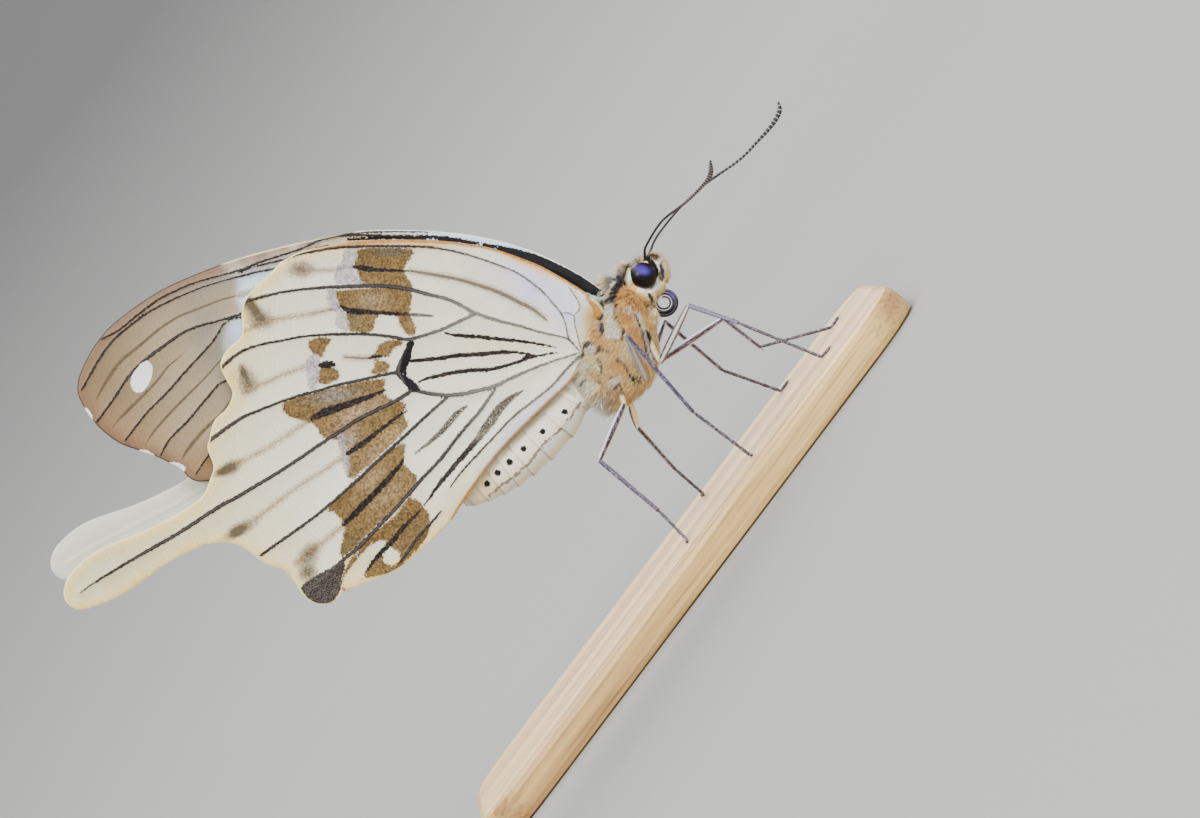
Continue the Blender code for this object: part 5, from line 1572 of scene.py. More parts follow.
def limb(start, end, radii, steps):
    """Rows of u, v, y and radius between two joints, the radii eased through the given ones."""
    share = np.linspace(0.0, 1.0, steps)
    places = np.outer(1 - share, start) + np.outer(share, end)
    return np.column_stack((places, np.interp(share, np.linspace(0.0, 1.0, len(radii)), radii)))


def limb_part(path, colours, sides=14):
    """A closed limb with a colour on each vertex by which edge of the limb it lies at."""
    bm = lofted(tube_rings(path, sides))
    layer = bm.verts.layers.float_color.new("ground")
    centres = level(path[:, :3])
    along = unit(np.gradient(centres, axis=0))
    edge = unit(np.cross(along, (0.0, 1.0, 0.0)))
    places = np.array([vert.co for vert in bm.verts])
    nearest = np.argmin(((places[:, None] - centres[None]) ** 2).sum(axis=2), axis=1)
    offset = places - centres[nearest]
    side = np.einsum("ij,ij->i", offset, edge[nearest]) / np.maximum(path[nearest, 3] * MM, TINY)
    shades = np.array(colours, dtype=float) / 255
    rear = eased((side - 0.42) / 0.3)[:, None]
    front = eased((-side - 0.42) / 0.3)[:, None]
    rows = pigment(shades[1] + (shades[0] - shades[1]) * rear + (shades[2] - shades[1]) * front)
    for vert, row in zip(bm.verts, rows):
        vert[layer] = (*row, 1.0)
    return bm


def spine_part(root, tip, radius, colour):
    """A thorn from root to tip, plan places."""
    path = limb(root, tip, (radius, radius * 0.75, radius * 0.1), 4)
    return limb_part(path, (colour, colour, colour), 5)


def foot_places(ankle, foot):
    """Plan places of heel and toe of a foot laid flat towards the ankle's side."""
    toe_world = np.array([(*foot, BASE_TOP + TOE_HEIGHT)]) * MM
    flat = toe_world[0] - level([ankle])[0]
    flat[2] = 0.0
    heel_world = toe_world - unit(flat[None]) * LEG_FOOT_LENGTH * MM
    toe = np.append(side_plan(toe_world)[0], foot[1])
    return np.append(side_plan(heel_world)[0], heel_world[0, 1] / MM), toe


def shin_spines(knee, ankle, dice):
    """Thorns up the shin in turn on its two edges, and the two spurs at its foot."""
    shin = unit((ankle - knee)[None])[0]
    parts = []
    for i in range(SHIN_SPINES):
        root = knee + (ankle - knee) * (SHIN_SPINE_FIRST + SHIN_SPINE_GAP * i)
        out = unit(np.cross(shin, (0.0, 0.0, 1.0))[None])[0] * (1 if i % 2 else -1)
        tip = root + out * SHIN_SPINE_REACH + shin * SHIN_SPINE_REACH + (0.0, 0.0, dice.uniform(-0.12, 0.12))
        parts.append(spine_part(root, tip, 0.035, CLAW_COLOUR))
    for side in (-1, 1):
        tip = ankle + shin * 0.55 + np.array((0.1, -0.2, 0.3 * side))
        parts.append(spine_part(ankle - shin * 0.05, tip, 0.06, SPUR_COLOUR))
    return parts


def foot_parts(ankle, heel, toe, colour):
    """The foot's joints with their small spines, and its two claws."""
    joints = [ankle, *(ankle + (heel - ankle) * share for share in FOOT_JOINTS), heel, toe]
    parts = []
    for i, (a, b) in enumerate(zip(joints, joints[1:])):
        radii = FOOT_RADII if i <= len(FOOT_JOINTS) else TOE_RADII
        parts.append(limb_part(limb(a, b, radii, 9), (colour, colour, CLAW_COLOUR), 10))
        run = unit((b - a)[None])[0]
        for side in (-1, 1):
            root = b - run * 0.12
            tip = root + run * 0.22 + np.array((0.0, -0.1, 0.2 * side))
            parts.append(spine_part(root, tip, 0.03, CLAW_COLOUR))
    run = unit((toe - heel)[None])[0]
    down = side_plan(np.array([(0.0, 0.0, 0.0), (0.0, 0.0, -MM)]))
    down = np.append(down[1] - down[0], 0.0)
    for side in (-1, 1):
        elbow = toe + run * 0.25 + np.array((0.0, 0.0, 0.16 * side))
        parts.append(spine_part(toe, elbow, 0.06, CLAW_COLOUR))
        parts.append(spine_part(elbow - run * 0.04, elbow + run * 0.1 + down * 0.12, 0.045, CLAW_COLOUR))
    return parts


def build_legs(settings):
    finish = leg_finish(settings)
    dice = np.random.default_rng(3)
    for name, (joints, foot, tone) in LEGS.items():
        hip, knee_root, knee, ankle = (np.array(joint, dtype=float) for joint in joints)
        colours = LEG_COLOURS[tone]
        heel, toe = foot_places(ankle, foot)
        parts = [
            limb_part(limb(hip, knee_root, HIP_RADII, 10), HIP_COLOURS),
            limb_part(limb(knee_root, knee, THIGH_RADII, 22), colours[:3]),
            limb_part(limb(knee, ankle, SHIN_RADII, 26), colours[3:6]),
        ]
        parts += shin_spines(knee, ankle, dice) + foot_parts(ankle, heel, toe, colours[6])
        leg = add_piece("leg_" + name + "_scaled", joined(parts), finish)
        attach(leg, "root")
        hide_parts("leg_" + name)


# Materials

class Finish:
    """A procedural material under construction."""

    def __init__(self, name):
        self.material = bpy.data.materials.new(name)
        self.material.use_nodes = True
        self.tree = self.material.node_tree
        self.shader = self.tree.nodes["Principled BSDF"]
        self.object_place = self.node("ShaderNodeTexCoord").outputs["Object"]

    def node(self, kind, values=None, **settings):
        made = self.tree.nodes.new(kind)
        for key, value in settings.items():
            setattr(made, key, value)
        for key, value in (values or {}).items():
            self.feed(made.inputs[key], value)
        return made

    def feed(self, socket, value):
        if isinstance(value, bpy.types.NodeSocket):
            self.tree.links.new(value, socket)
        elif socket.type == "RGBA":
            socket.default_value = (*value, 1.0)
        else:
            socket.default_value = value

    def number(self, name):
        return self.node("ShaderNodeAttribute", attribute_name=name).outputs["Fac"]

    def colour(self, name):
        return self.node("ShaderNodeAttribute", attribute_name=name).outputs["Color"]

    def math(self, operation, a, b=0.0, c=0.0):
        return self.node("ShaderNodeMath", {0: a, 1: b, 2: c}, operation=operation).outputs[0]

    def between(self, value, low, high, to_low=0.0, to_high=1.0):
        """The value's smooth share of the way from low to high."""
        values = {"Value": value, "From Min": low, "From Max": high, "To Min": to_low, "To Max": to_high}
        return self.node("ShaderNodeMapRange", values, interpolation_type="SMOOTHSTEP").outputs["Result"]

    def mix(self, share, a, b, blend="MIX"):
        made = self.node("ShaderNodeMix", data_type="RGBA", blend_type=blend)
        for index, value in ((0, share), (6, a), (7, b)):
            self.feed(made.inputs[index], value)
        return made.outputs[2]

    def noise(self, scale, detail=2.0):
        values = {"Vector": self.object_place, "Scale": scale, "Detail": detail}
        return self.node("ShaderNodeTexNoise", values).outputs["Fac"]

    def grains(self, scale):
        """A random value between 0 and 1 for each cell."""
        cells = self.node("ShaderNodeTexVoronoi", {"Vector": self.object_place, "Scale": scale})
        return self.node("ShaderNodeSeparateColor", {0: cells.outputs["Color"]}).outputs[0]

    def streaks(self, scale, detail):
        """Noise drawn out along the first axis."""
        place = self.node("ShaderNodeMapping", {"Vector": self.object_place, "Scale": scale}).outputs[0]
        values = {"Vector": place, "Scale": 1.0, "Detail": detail}
        return self.node("ShaderNodeTexNoise", values).outputs["Fac"]

    def within(self, field, ragged, softness):
        """1 where a distance field plus the ragged value is negative."""
        return self.between(self.math("ADD", field, ragged), softness, -softness)

    def bump(self, height, distance, strength=1.0):
        values = {"Height": height, "Distance": distance, "Strength": strength}
        made = self.node("ShaderNodeBump", values)
        if self.shader.inputs["Normal"].is_linked:
            self.feed(made.inputs["Normal"], self.shader.inputs["Normal"].links[0].from_socket)
        self.feed(self.shader.inputs["Normal"], made.outputs["Normal"])

    def done(self, colour, roughness, **constants):
        self.feed(self.shader.inputs["Base Color"], colour)
        self.feed(self.shader.inputs["Roughness"], roughness)
        for name, value in constants.items():
            self.feed(self.shader.inputs[name.replace("_", " ")], value)
        return self.material


def rgb(red, green, blue):
    """The reflectance for 8 bit sRGB numbers."""
    return tuple(float(value) for value in pigment(np.array((red, green, blue)) / 255))


def wing_finish(settings):
    """Scales over a membrane: the ground colour, then each kind of mark, its edge dissolving into scales."""
    f = Finish("wing scales")
    grain = f.grains(WING_GRAINS)
    specks = f.grains(WING_SPECKS)
    fine = f.noise(WING_DUST)
    tone = f.noise(700.0, 3.0)
    slow = f.noise(160.0, 2.0)
    reach = f.number("reach")
    tan = f.number("tan")

    def dusted(field, softness, density=1.0):
        """A mark whose edge dissolves into single scales."""
        cover = f.math("MULTIPLY", f.between(field, softness, -softness, 0.0, 1.2), density)
        return f.between(f.math("SUBTRACT", cover, grain), 0.0, 0.2)

    phase = f.math("MULTIPLY_ADD", tone, 9.0, f.math("MULTIPLY", slow, 12.0))
    ribs = f.math("SINE", f.math("MULTIPLY_ADD", reach, RIB_TURNS, phase))
    outer = f.math("MULTIPLY", f.between(reach, 12.0, 22.0), f.between(tone, 0.35, 0.62, 0.1, 1.0))
    on_tan = f.between(tan, 0.3, -0.3)
    paler = f.math("MULTIPLY", f.between(tone, 0.25, 0.75, 0.0, 0.3), f.between(tan, -0.3, 0.3))
    look = f.mix(paler, f.colour("ground"), rgb(220, 218, 210))
    look = f.mix(f.between(specks, 0.0, 1.0, 0.0, 0.2), look, (0.74, 0.72, 0.7), "MULTIPLY")
    # Painted shade: besides their bump, the fine wrinkles are darkened in colour along each wave, as their
    # relief would shade.
    rib_shade = f.math("MULTIPLY", f.between(ribs, -0.3, 0.9, 0.0, 0.22), outer)
    look = f.mix(rib_shade, look, (0.72, 0.68, 0.62), "MULTIPLY")
    stray = f.math("MULTIPLY", on_tan, f.between(fine, 0.6, 0.68, 0.0, 0.5))
    look = f.mix(stray, look, rgb(110, 98, 92))
    golden = f.mix(specks, rgb(150, 116, 82), rgb(204, 176, 142))
    brown_line = f.number("brown_line")
    soft = f.between(brown_line, 0.44, 0.1, 0.0, 0.66)
    soft = f.math("MULTIPLY", soft, f.between(fine, 0.4, 0.6, 0.15, 1.0))
    look = f.mix(f.math("MULTIPLY", soft, f.between(tan, 0.0, 0.3)), look, rgb(176, 140, 106))
    deep = f.math("MAXIMUM", f.between(reach, 24.0, 18.0), f.between(tan, 0.3, -0.3))
    inner_line = f.mix(deep, golden, f.mix(specks, rgb(98, 74, 56), rgb(146, 116, 88)))
    slimmer = f.math("ADD", brown_line, f.between(tan, 0.3, 0.0, 0.0, 0.1))
    core = f.math("MULTIPLY", f.between(slimmer, 0.09, -0.04), f.between(deep, 0.0, 1.0, 0.55, 0.85))
    look = f.mix(core, look, inner_line)
    brown_field = f.number("brown")
    brown = f.mix(1.0, f.colour("patch"), f.mix(specks, (0.5, 0.46, 0.4), (1.6, 1.6, 1.6)), "MULTIPLY")
    brown = f.mix(f.between(fine, 0.4, 0.75, 0.0, 0.5), brown, settings.brown)
    look = f.mix(f.between(brown_field, 0.3, 0.0, 0.0, 0.2), look, rgb(190, 166, 130))
    look = f.mix(dusted(brown_field, 0.18, 0.96), look, brown)
    slate = f.mix(specks, rgb(150, 144, 148), rgb(202, 198, 200))
    look = f.mix(f.math("MULTIPLY", dusted(f.number("grey"), 0.2), 0.8), look, slate)
    smudge = f.math("ADD", f.number("smudge"), f.math("MULTIPLY_ADD", grain, 0.26, -0.12))
    haze = f.mix(specks, rgb(136, 108, 86), rgb(182, 156, 130))
    look = f.mix(f.between(smudge, 0.2, 0.8, 0.0, 0.8), look, haze)
    look = f.mix(f.between(smudge, 0.78, 1.1, 0.0, 0.75), look, rgb(84, 64, 52))
    streak = f.number("streak")
    sparse = f.number("sparse")
    look = f.mix(f.math("MULTIPLY", dusted(streak, 0.2, 0.8), 0.7), look, rgb(122, 90, 58))
    scaled = f.mix(f.between(specks, 0.5, 1.0, 0.0, 0.6), settings.vein, rgb(112, 84, 64))
    look = f.mix(f.math("MULTIPLY", dusted(streak, 0.11), f.between(sparse, 0.6, 0.1)), look, scaled)
    loose = f.math("MULTIPLY", f.between(streak, 0.12, -0.04), f.between(fine, 0.34, 0.56, 0.25, 1.0))
    look = f.mix(f.math("MULTIPLY", loose, f.between(sparse, 0.1, 0.6)), look, rgb(82, 64, 54))
    tawny = f.mix(specks, rgb(176, 130, 66), rgb(206, 166, 104))
    orange = f.between(f.number("orange"), 0.12, -0.06)
    look = f.mix(f.math("MULTIPLY", orange, f.between(fine, 0.3, 0.5, 0.7, 0.95)), look, tawny)
    slender = f.between(tan, 0.3, -0.3, -0.05, -0.01)
    vein = f.math("ADD", f.number("vein"), f.math("MULTIPLY_ADD", grain, 0.1, slender))
    near_root = f.between(reach, 15.0, 5.0)
    look = f.mix(f.between(vein, 0.16, 0.0, 0.0, 0.35), look, rgb(168, 140, 108))
    vein_core = f.mix(near_root, rgb(112, 102, 100), rgb(168, 172, 166))
    vein_edge = f.mix(near_root, settings.vein, rgb(124, 120, 110))
    vein_look = f.mix(f.between(vein, -0.13, -0.08, 0.75, 0.0), vein_edge, vein_core)
    look = f.mix(f.between(vein, 0.03, -0.03), look, vein_look)
    pale_specks = f.math("MULTIPLY", f.between(fine, 0.42, 0.62, 0.1, 0.9), f.between(reach, 22.0, 26.0))
    blackish = f.mix(pale_specks, rgb(22, 18, 24), rgb(136, 122, 112))
    look = f.mix(dusted(f.number("dark"), 0.13), look, blackish)
    # White spots, and the painted highlight along the forewing's costa, in bluish white.
    look = f.mix(dusted(f.number("white"), 0.07), look, rgb(217, 222, 232))
    rim = f.math("MULTIPLY", f.between(f.number("edge"), 0.14, 0.06), f.between(reach, 20.0, 26.0))
    rim_look = f.mix(f.between(tan, 0.5, 0.0), rgb(222, 212, 190), rgb(76, 58, 56))
    look = f.mix(f.math("MULTIPLY", rim, f.between(f.number("white"), 0.0, 0.1)), look, rim_look)
    border = dusted(f.math("MINIMUM", brown_field, tan), 0.2)
    upper_ground = f.mix(f.between(reach, 24.0, 34.0), rgb(216, 213, 202), rgb(208, 207, 201))
    look = f.mix(f.number("upper"), look, f.mix(border, upper_ground, rgb(34, 28, 28)))
    f.bump(grain, 10 * MICRO, 0.6)
    f.bump(ribs, 8 * MICRO, 0.3)
    return f.done(look, f.between(grain, 0.0, 1.0, 0.55, 0.75), Sheen_Weight=0.06, Specular_IOR_Level=0.2)


def add_piece(name, bm, finish):
    """A named object at the origin from a bmesh in metres."""
    mesh = bpy.data.meshes.new(name)
    bm.to_mesh(mesh)
    bm.free()
    mesh.materials.append(finish)
    mesh.shade_smooth()
    piece = bpy.data.objects.new(name, mesh)
    bpy.context.scene.collection.objects.link(piece)
    return piece


def build_wings(settings):
    finish = wing_finish(settings)
    for kind, marks in WINGS.items():
        streaks = {**marks.get("streaks", {}), **marks["brown lines"]}
        sheet = wing_sheet(marks["outline"], marks["veins"], streaks)
        fields = wing_fields(kind, mesh_places(sheet)[:, :2], closed_path(marks["outline"]))
        for side, side_name in ((-1, "right"), (1, "left")):
            node = kind + "_" + side_name
            wing = add_wing(kind, node + "_scaled", side, sheet, fields, settings, finish)
            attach(wing, "root")
            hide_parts(node)

WINGS = {
    "forewing": {
        "outline": FOREWING_OUTLINE, "veins": FOREWING_VEINS, "brown lines": FOREWING_BROWN_LINES,
        "dark lines": FOREWING_DARK_LINES, "white": FOREWING_WHITE, "rim": FOREWING_RIM_HIGHLIGHT,
        "border": FOREWING_BORDER, "ground": FOREWING_SHADED_GROUND, "washes": FOREWING_WASHES,
        "spread": forewing_spread, "margin": (166, 128, 104),
    },
    "hindwing": {
        "outline": HINDWING_OUTLINE, "veins": HINDWING_VEINS, "streaks": HINDWING_STREAKS,
        "brown lines": HINDWING_BROWN_LINES, "brown": HINDWING_BROWN, "cream": HINDWING_CREAM,
        "grey": HINDWING_GREY, "dark": HINDWING_DARK, "orange": HINDWING_ORANGE, "smudges": HINDWING_SMUDGES,
        "ground": HINDWING_GROUND, "washes": HINDWING_WASHES, "spread": hindwing_spread,
        "margin": (226, 204, 160),
    },
}


def body_finish(name, settings, hairy=False):
    """The body's colours, for the skin and for the hairs, whose tips differ a little from their roots.
    Towards their roots the hairs are darkened as painted shade.
    """
    f = Finish(name)
    grain = f.grains(BODY_GRAINS)
    clumps = f.grains(BODY_CLUMPS)
    tone = f.noise(1500.0, 3.0)
    ragged = f.math("MULTIPLY_ADD", f.number("tone") if hairy else grain, 0.14, -0.07)
    look = f.mix(f.between(tone, 0.35, 0.7, 0.0, 0.14), f.colour("ground"), settings.hair)
    look = f.mix(f.between(clumps, 0.35, 0.0, 0.0, 0.5), look, (0.88, 0.8, 0.68), "MULTIPLY")
    dashes = f.math("MULTIPLY_ADD", grain, 0.12, -0.06)
    line = f.math("SUBTRACT", f.number("flank_line"), f.between(clumps, 0.3, 0.7, -0.05, 0.1))
    look = f.mix(f.math("MULTIPLY", f.within(line, dashes, 0.05), 0.8), look, rgb(122, 78, 58))
    look = f.mix(f.between(f.number("groove"), 0.13, 0.02, 0.0, 0.85), look, (0.5, 0.44, 0.4), "MULTIPLY")
    if hairy:
        tip = f.math("MULTIPLY", f.between(f.number("tip"), 0.35, 1.0), f.number("tip_share"))
        light = f.math("GREATER_THAN", f.number("tone"), 0.3)
        look = f.mix(tip, look, f.mix(light, rgb(112, 84, 60), rgb(216, 202, 190)))
        # Painted shade: each hair darkened towards its root, down in the coat.
        look = f.mix(f.between(f.number("tip"), 0.5, 0.0), look, (0.84, 0.78, 0.7), "MULTIPLY")
        look = f.mix(f.between(f.number("tone"), 0.6, 1.0), look, (0.58, 0.5, 0.4), "MULTIPLY")
    # Black marks, and the painted shadow in front of the eye.
    look = f.mix(f.within(f.math("SUBTRACT", f.number("black"), 0.08), ragged, 0.05), look, rgb(20, 16, 19))
    if hairy:
        return f.done(look, 0.6, Sheen_Weight=0.3, Specular_IOR_Level=0.2)
    f.bump(grain, 18 * MICRO, 0.8)
    return f.done(look, 0.75, Sheen_Weight=0.08, Specular_IOR_Level=0.2)


def eye_finish(settings):
    f = Finish("eye facets")
    values = {"Vector": f.object_place, "Scale": FACETS}
    edge = f.node("ShaderNodeTexVoronoi", values, feature="DISTANCE_TO_EDGE").outputs["Distance"]
    cells = f.grains(FACETS)
    look = f.mix(f.between(cells, 0.0, 1.0, 0.0, 0.5), settings.eye, rgb(22, 18, 30))
    # Painted highlight: the sheen colour laid over the eye's upper part.
    look = f.mix(f.between(f.number("sheen"), 0.28, 0.85, 0.0, 0.75), look, settings.eye_painted_sheen)
    look = f.mix(f.between(edge, 0.05, 0.0, 0.0, 0.6), look, rgb(8, 8, 12))
    f.bump(f.between(edge, 0.0, 0.3), 6 * MICRO, 0.5)
    return f.done(look, 0.35, Coat_Weight=0.08, Coat_Roughness=0.12, Specular_IOR_Level=0.18)


def feeler_finish(settings):
    f = Finish("feeler rings")
    grain = f.grains(9000.0)
    bands = f.math("SINE", f.math("MULTIPLY", f.number("station"), FEELER_BANDS))
    white = f.math("MULTIPLY", f.between(bands, 0.62, 0.92), f.between(f.number("station"), 0.5, 0.62))
    look = f.mix(f.between(grain, 0.6, 1.0, 0.0, 0.5), settings.feeler, rgb(66, 58, 62))
    look = f.mix(f.math("MULTIPLY", white, 0.6), look, rgb(204, 200, 198))
    f.bump(grain, 8 * MICRO, 0.6)
    return f.done(look, 0.45, Sheen_Weight=0.1, Specular_IOR_Level=0.4)


def tongue_finish(settings):
    f = Finish("tongue rings")
    tone = f.noise(4000.0, 3.0)
    look = f.mix(f.between(tone, 0.3, 0.7), settings.tongue, rgb(40, 34, 56))
    # Painted highlight: the violet sheen laid where the coil's sheen blot lies.
    look = f.mix(f.between(f.number("sheen"), 0.25, 0.9, 0.0, 0.85), look, rgb(112, 106, 176))
    f.bump(tone, 10 * MICRO, 0.6)
    return f.done(look, 0.4, Coat_Weight=0.15, Coat_Roughness=0.3, Specular_IOR_Level=0.3)


def leg_finish(settings):
    f = Finish("leg scales")
    grain = f.grains(8000.0)
    look = f.mix(f.between(grain, 0.55, 1.0, 0.0, 0.35), f.colour("ground"), settings.leg)
    look = f.mix(f.between(f.noise(3000.0, 3.0), 0.55, 0.75, 0.0, 0.4), look, rgb(64, 56, 64))
    f.bump(grain, 12 * MICRO, 0.8)
    return f.done(look, 0.5, Sheen_Weight=0.15, Specular_IOR_Level=0.35)


def base_finish(settings):
    f = Finish("base wood")
    streaks = f.streaks((14.0, 420.0, 420.0), 5.0)
    fine = f.streaks((90.0, 2600.0, 2600.0), 3.0)
    look = f.mix(f.between(streaks, 0.3, 0.7), settings.wood, settings.wood_grain)
    look = f.mix(f.between(fine, 0.45, 0.75, 0.0, 0.45), look, rgb(150, 116, 84), "MULTIPLY")
    f.bump(fine, 30 * MICRO, 0.25)
    return f.done(look, f.between(fine, 0.2, 0.8, 0.38, 0.55), Specular_IOR_Level=0.4)


def build_base(settings):
    """The plain wood base is the solid itself, with its finish."""
    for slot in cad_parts["stand_base"].material_slots:
        slot.material = base_finish(settings)


# Setting

def build_stage(settings):
    """A round pale cove, soft lights and the camera, turned as the photo's is to the climbing animal."""
    bm = bmesh.new()
    flat = settings.cove_flat
    bend = settings.cove_radius - flat
    profile = [(0.0, 0.0, 0.0)]
    for step in range(COVE_STEPS + 1):
        turn = math.pi / 2 * step / COVE_STEPS
        profile.append((flat + bend * math.sin(turn), 0.0, bend * (1 - math.cos(turn))))
    verts = [bm.verts.new(place) for place in profile]
    edges = [bm.edges.new(pair) for pair in zip(verts, verts[1:])]
    bmesh.ops.spin(
        bm, geom=verts + edges, cent=(0, 0, 0), axis=(0, 0, 1), dvec=(0, 0, 0), angle=2 * math.pi,
        steps=COVE_SIDES, use_merge=True, use_duplicate=False,
    )
    bmesh.ops.remove_doubles(bm, verts=bm.verts, dist=10 * MICRO)
    bmesh.ops.recalc_face_normals(bm, faces=bm.faces)
    bmesh.ops.reverse_faces(bm, faces=bm.faces)
    cove = add_piece("cove", bm, cove_finish(settings))
    target = Vector(level([(*settings.centre, 0.0)])[0])
    for name, place, size, power in LIGHTS:
        lamp = bpy.data.lights.new(name, "AREA")
        lamp.shape = "DISK"
        lamp.size = size
        lamp.energy = power * settings.brightness
        light = bpy.data.objects.new(name, lamp)
        light.location = Vector(place)
        light.rotation_euler = (target - light.location).to_track_quat("-Z", "Y").to_euler()
        bpy.context.scene.collection.objects.link(light)
    world = bpy.data.worlds.new("studio air")
    world.use_nodes = True
    world.node_tree.nodes["Background"].inputs["Color"].default_value = (0.93, 0.95, 1.0, 1.0)
    world.node_tree.nodes["Background"].inputs["Strength"].default_value = settings.ambient
    bpy.context.scene.world = world
    add_camera(settings, target)


def add_camera(settings, target):
    """Level with the animal and a little above it, rolled so that the climb shows as in the photo."""
    camera = bpy.data.cameras.new("photo camera")
    camera.lens = settings.lens
    camera.sensor_width = SENSOR_WIDTH
    distance = settings.frame_width * settings.lens / SENSOR_WIDTH
    forward = Vector((0.0, math.cos(settings.elevation), -math.sin(settings.elevation)))
    right = Vector((math.cos(CLIMB_ANGLE), 0.0, -math.sin(CLIMB_ANGLE)))
    right = (right - forward * right.dot(forward)).normalized()
    up = right.cross(forward)
    holder = bpy.data.objects.new("photo camera", camera)
    turn = Matrix((right, up, -forward)).transposed()
    holder.matrix_world = Matrix.Translation(target - forward * distance) @ turn.to_4x4()
    bpy.context.scene.collection.objects.link(holder)
    bpy.context.scene.camera = holder


def cove_finish(settings):
    f = Finish("cove paper")
    tone = f.noise(3.0, 2.0)
    look = f.mix(f.between(tone, 0.3, 0.7), settings.floor, tuple(part * 0.97 for part in settings.floor))
    f.bump(f.noise(900.0), 60 * MICRO, 0.15)
    return f.done(look, 0.9, Specular_IOR_Level=0.1)


# name, place, size and power of each light
LIGHTS = (
    ("key softbox", (-0.25, -0.75, 0.75), 0.6, 9.0),
    ("front fill", (0.5, -0.75, 0.25), 0.6, 4.5),
    ("far softbox", (0.1, 0.8, 0.7), 0.6, 8.0),
    ("top softbox", (0.05, 0.0, 0.95), 0.7, 5.0),
)

# Settings

def colour_setting(name, description, default):
    return FloatVectorProperty(
        name=name, description=description, subtype="COLOR", default=default, min=0.0, max=1.0,
    )


class WingSettings(bpy.types.PropertyGroup):
    thickness: FloatProperty(
        name="Thickness", description="Thickness of the scaled membrane", default=0.00024, min=0.00005,
        max=0.0005, unit="LENGTH",
    )
    vein_rise: FloatProperty(
        name="Vein rise", description="How far a vein stands out from the membrane", default=0.0001, min=0.0,
        max=0.00016, unit="LENGTH",
    )
    vein: colour_setting(
        "Vein colour", "Colour of the veins and the black streaks", rgb(27, 19, 24),
    )
    brown: colour_setting(
        "Brown colour", "Colour of the golden brown patches", rgb(128, 92, 46),
    )


class BodySettings(bpy.types.PropertyGroup):
    tufts: FloatProperty(name="Tufts", description="Number of hairs and scales on the body", default=60000)
    hair: colour_setting(
        "Hair colour", "Pale colour that mottles the coat", rgb(214, 206, 186),
    )
    eye: colour_setting(
        "Eye colour", "Colour of the eyes", rgb(10, 9, 12),
    )
    # A painted sheen, laid as colour on the eyes' upper part.
    eye_painted_sheen: colour_setting(
        "Eye sheen", "Colour of the sheen on the eyes", rgb(104, 102, 186),
    )
    feeler: colour_setting(
        "Feeler colour", "Colour of the antennae", rgb(28, 24, 28),
    )
    tongue: colour_setting(
        "Tongue colour", "Colour of the coiled tongue", rgb(16, 12, 22),
    )
    leg: colour_setting(
        "Leg scales", "Colour of the pale scales on the legs", rgb(206, 202, 210),
    )


class BaseSettings(bpy.types.PropertyGroup):
    wood: colour_setting(
        "Wood", "Colour of the base", rgb(222, 200, 170),
    )
    wood_grain: colour_setting(
        "Grain", "Colour of the base's grain", rgb(200, 170, 132),
    )


class StageSettings(bpy.types.PropertyGroup):
    centre: FloatVectorProperty(
        name="View centre", description="Side plan point at the middle of the picture, in millimetres",
        size=2, default=(0.2, -11.9),
    )
    frame_width: FloatProperty(
        name="Frame width", description="Width that the picture spans at the animal", default=0.12,
        unit="LENGTH",
    )
    lens: FloatProperty(name="Lens", description="Focal length of the camera", default=150.0, unit="CAMERA")
    elevation: FloatProperty(
        name="Elevation", description="How far the camera looks down", default=math.radians(3.0),
        unit="ROTATION",
    )
    cove_radius: FloatProperty(
        name="Cove radius", description="Radius of the round backdrop", default=2.0, unit="LENGTH",
    )
    cove_flat: FloatProperty(
        name="Cove floor", description="Radius of the flat floor, where the backdrop starts to rise",
        default=0.62, unit="LENGTH",
    )
    brightness: FloatProperty(name="Brightness", description="Strength of all the lamps", default=1.5)
    ambient: FloatProperty(name="Ambient", description="Strength of the light from all round", default=0.7)
    floor: colour_setting(
        "Floor colour", "Colour of the floor and the backdrop", (0.3, 0.3, 0.29),
    )


# Operators

class SWALLOWTAIL_OT_wings(bpy.types.Operator):
    """Build the four wings"""
    bl_idname = "swallowtail.wings"
    bl_label = "Wings"

    def execute(self, context):
        build_wings(context.scene.swallowtail_wings)
        return {"FINISHED"}


class SWALLOWTAIL_OT_skin(bpy.types.Operator):
    """Build the one skin of the head, thorax and abdomen"""
    bl_idname = "swallowtail.skin"
    bl_label = "Body skin"

    def execute(self, context):
        build_skin(context.scene.swallowtail_body)
        return {"FINISHED"}


class SWALLOWTAIL_OT_coat(bpy.types.Operator):
    """Build the hairs and scales on the body's skin"""
    bl_idname = "swallowtail.coat"
    bl_label = "Coat"

    def execute(self, context):
        build_coat(context.scene.swallowtail_body)
        return {"FINISHED"}


class SWALLOWTAIL_OT_eyes(bpy.types.Operator):
    """Build both eyes"""
    bl_idname = "swallowtail.eyes"
    bl_label = "Eyes"

    def execute(self, context):
        build_eyes(context.scene.swallowtail_body)
        return {"FINISHED"}


class SWALLOWTAIL_OT_feelers(bpy.types.Operator):
    """Build both antennae"""
    bl_idname = "swallowtail.feelers"
    bl_label = "Feelers"

    def execute(self, context):
        build_feelers(context.scene.swallowtail_body)
        return {"FINISHED"}


class SWALLOWTAIL_OT_tongue(bpy.types.Operator):
    """Build the coiled tongue"""
    bl_idname = "swallowtail.tongue"
    bl_label = "Tongue"

    def execute(self, context):
        build_tongue(context.scene.swallowtail_body)
        return {"FINISHED"}


class SWALLOWTAIL_OT_legs(bpy.types.Operator):
    """Build the six legs"""
    bl_idname = "swallowtail.legs"
    bl_label = "Legs"

    def execute(self, context):
        build_legs(context.scene.swallowtail_body)
        return {"FINISHED"}


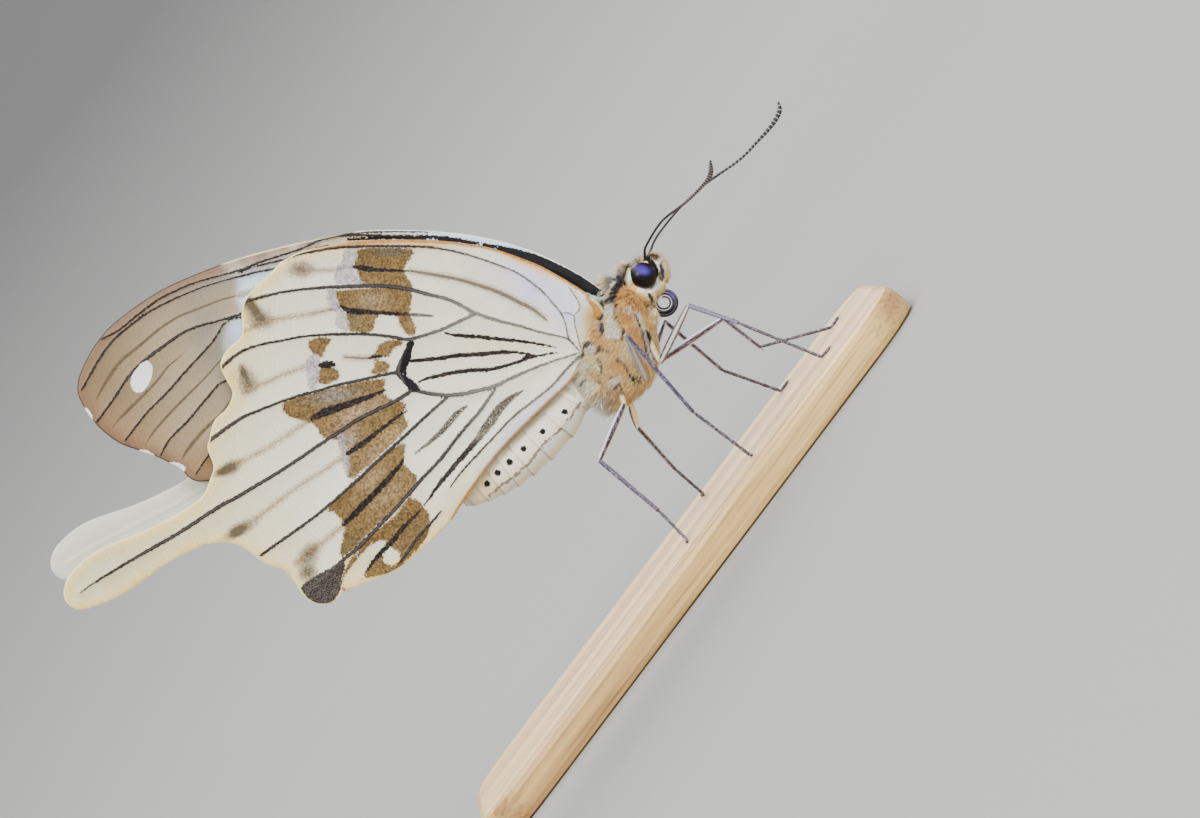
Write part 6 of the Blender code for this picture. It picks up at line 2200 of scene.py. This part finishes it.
class SWALLOWTAIL_OT_base(bpy.types.Operator):
    """Finish the wood base"""
    bl_idname = "swallowtail.base"
    bl_label = "Base"

    def execute(self, context):
        build_base(context.scene.swallowtail_base)
        return {"FINISHED"}


class SWALLOWTAIL_OT_stage(bpy.types.Operator):
    """Build the cove, the lights and the camera"""
    bl_idname = "swallowtail.stage"
    bl_label = "Stage"

    def execute(self, context):
        build_stage(context.scene.swallowtail_stage)
        return {"FINISHED"}


class SWALLOWTAIL_PT_panel(bpy.types.Panel):
    """Lists the settings and the pieces of the model"""
    bl_label = "Swallowtail"
    bl_idname = "SWALLOWTAIL_PT_panel"
    bl_space_type = "VIEW_3D"
    bl_region_type = "UI"
    bl_category = "Swallowtail"

    def draw(self, context):
        for operator in OPERATORS:
            self.layout.operator(operator.bl_idname)
        for name in GROUPS:
            box = self.layout.box()
            group = getattr(context.scene, name)
            for setting in group.bl_rna.properties:
                if setting.identifier not in ("name", "rna_type"):
                    box.prop(group, setting.identifier)


OPERATORS = (
    SWALLOWTAIL_OT_wings, SWALLOWTAIL_OT_skin, SWALLOWTAIL_OT_coat, SWALLOWTAIL_OT_eyes,
    SWALLOWTAIL_OT_feelers, SWALLOWTAIL_OT_tongue, SWALLOWTAIL_OT_legs, SWALLOWTAIL_OT_base,
    SWALLOWTAIL_OT_stage,
)
GROUPS = {
    "swallowtail_wings": WingSettings, "swallowtail_body": BodySettings, "swallowtail_base": BaseSettings,
    "swallowtail_stage": StageSettings,
}


def register():
    for cls in (*GROUPS.values(), *OPERATORS, SWALLOWTAIL_PT_panel):
        bpy.utils.register_class(cls)
    for name, group in GROUPS.items():
        setattr(bpy.types.Scene, name, PointerProperty(type=group))


def unregister():
    for name in GROUPS:
        delattr(bpy.types.Scene, name)
    for cls in reversed((*GROUPS.values(), *OPERATORS, SWALLOWTAIL_PT_panel)):
        bpy.utils.unregister_class(cls)


def main():
    register()
    for operator in OPERATORS:
        family, action = operator.bl_idname.split(".")
        getattr(getattr(bpy.ops, family), action)()


if __name__ == "__main__":
    main()
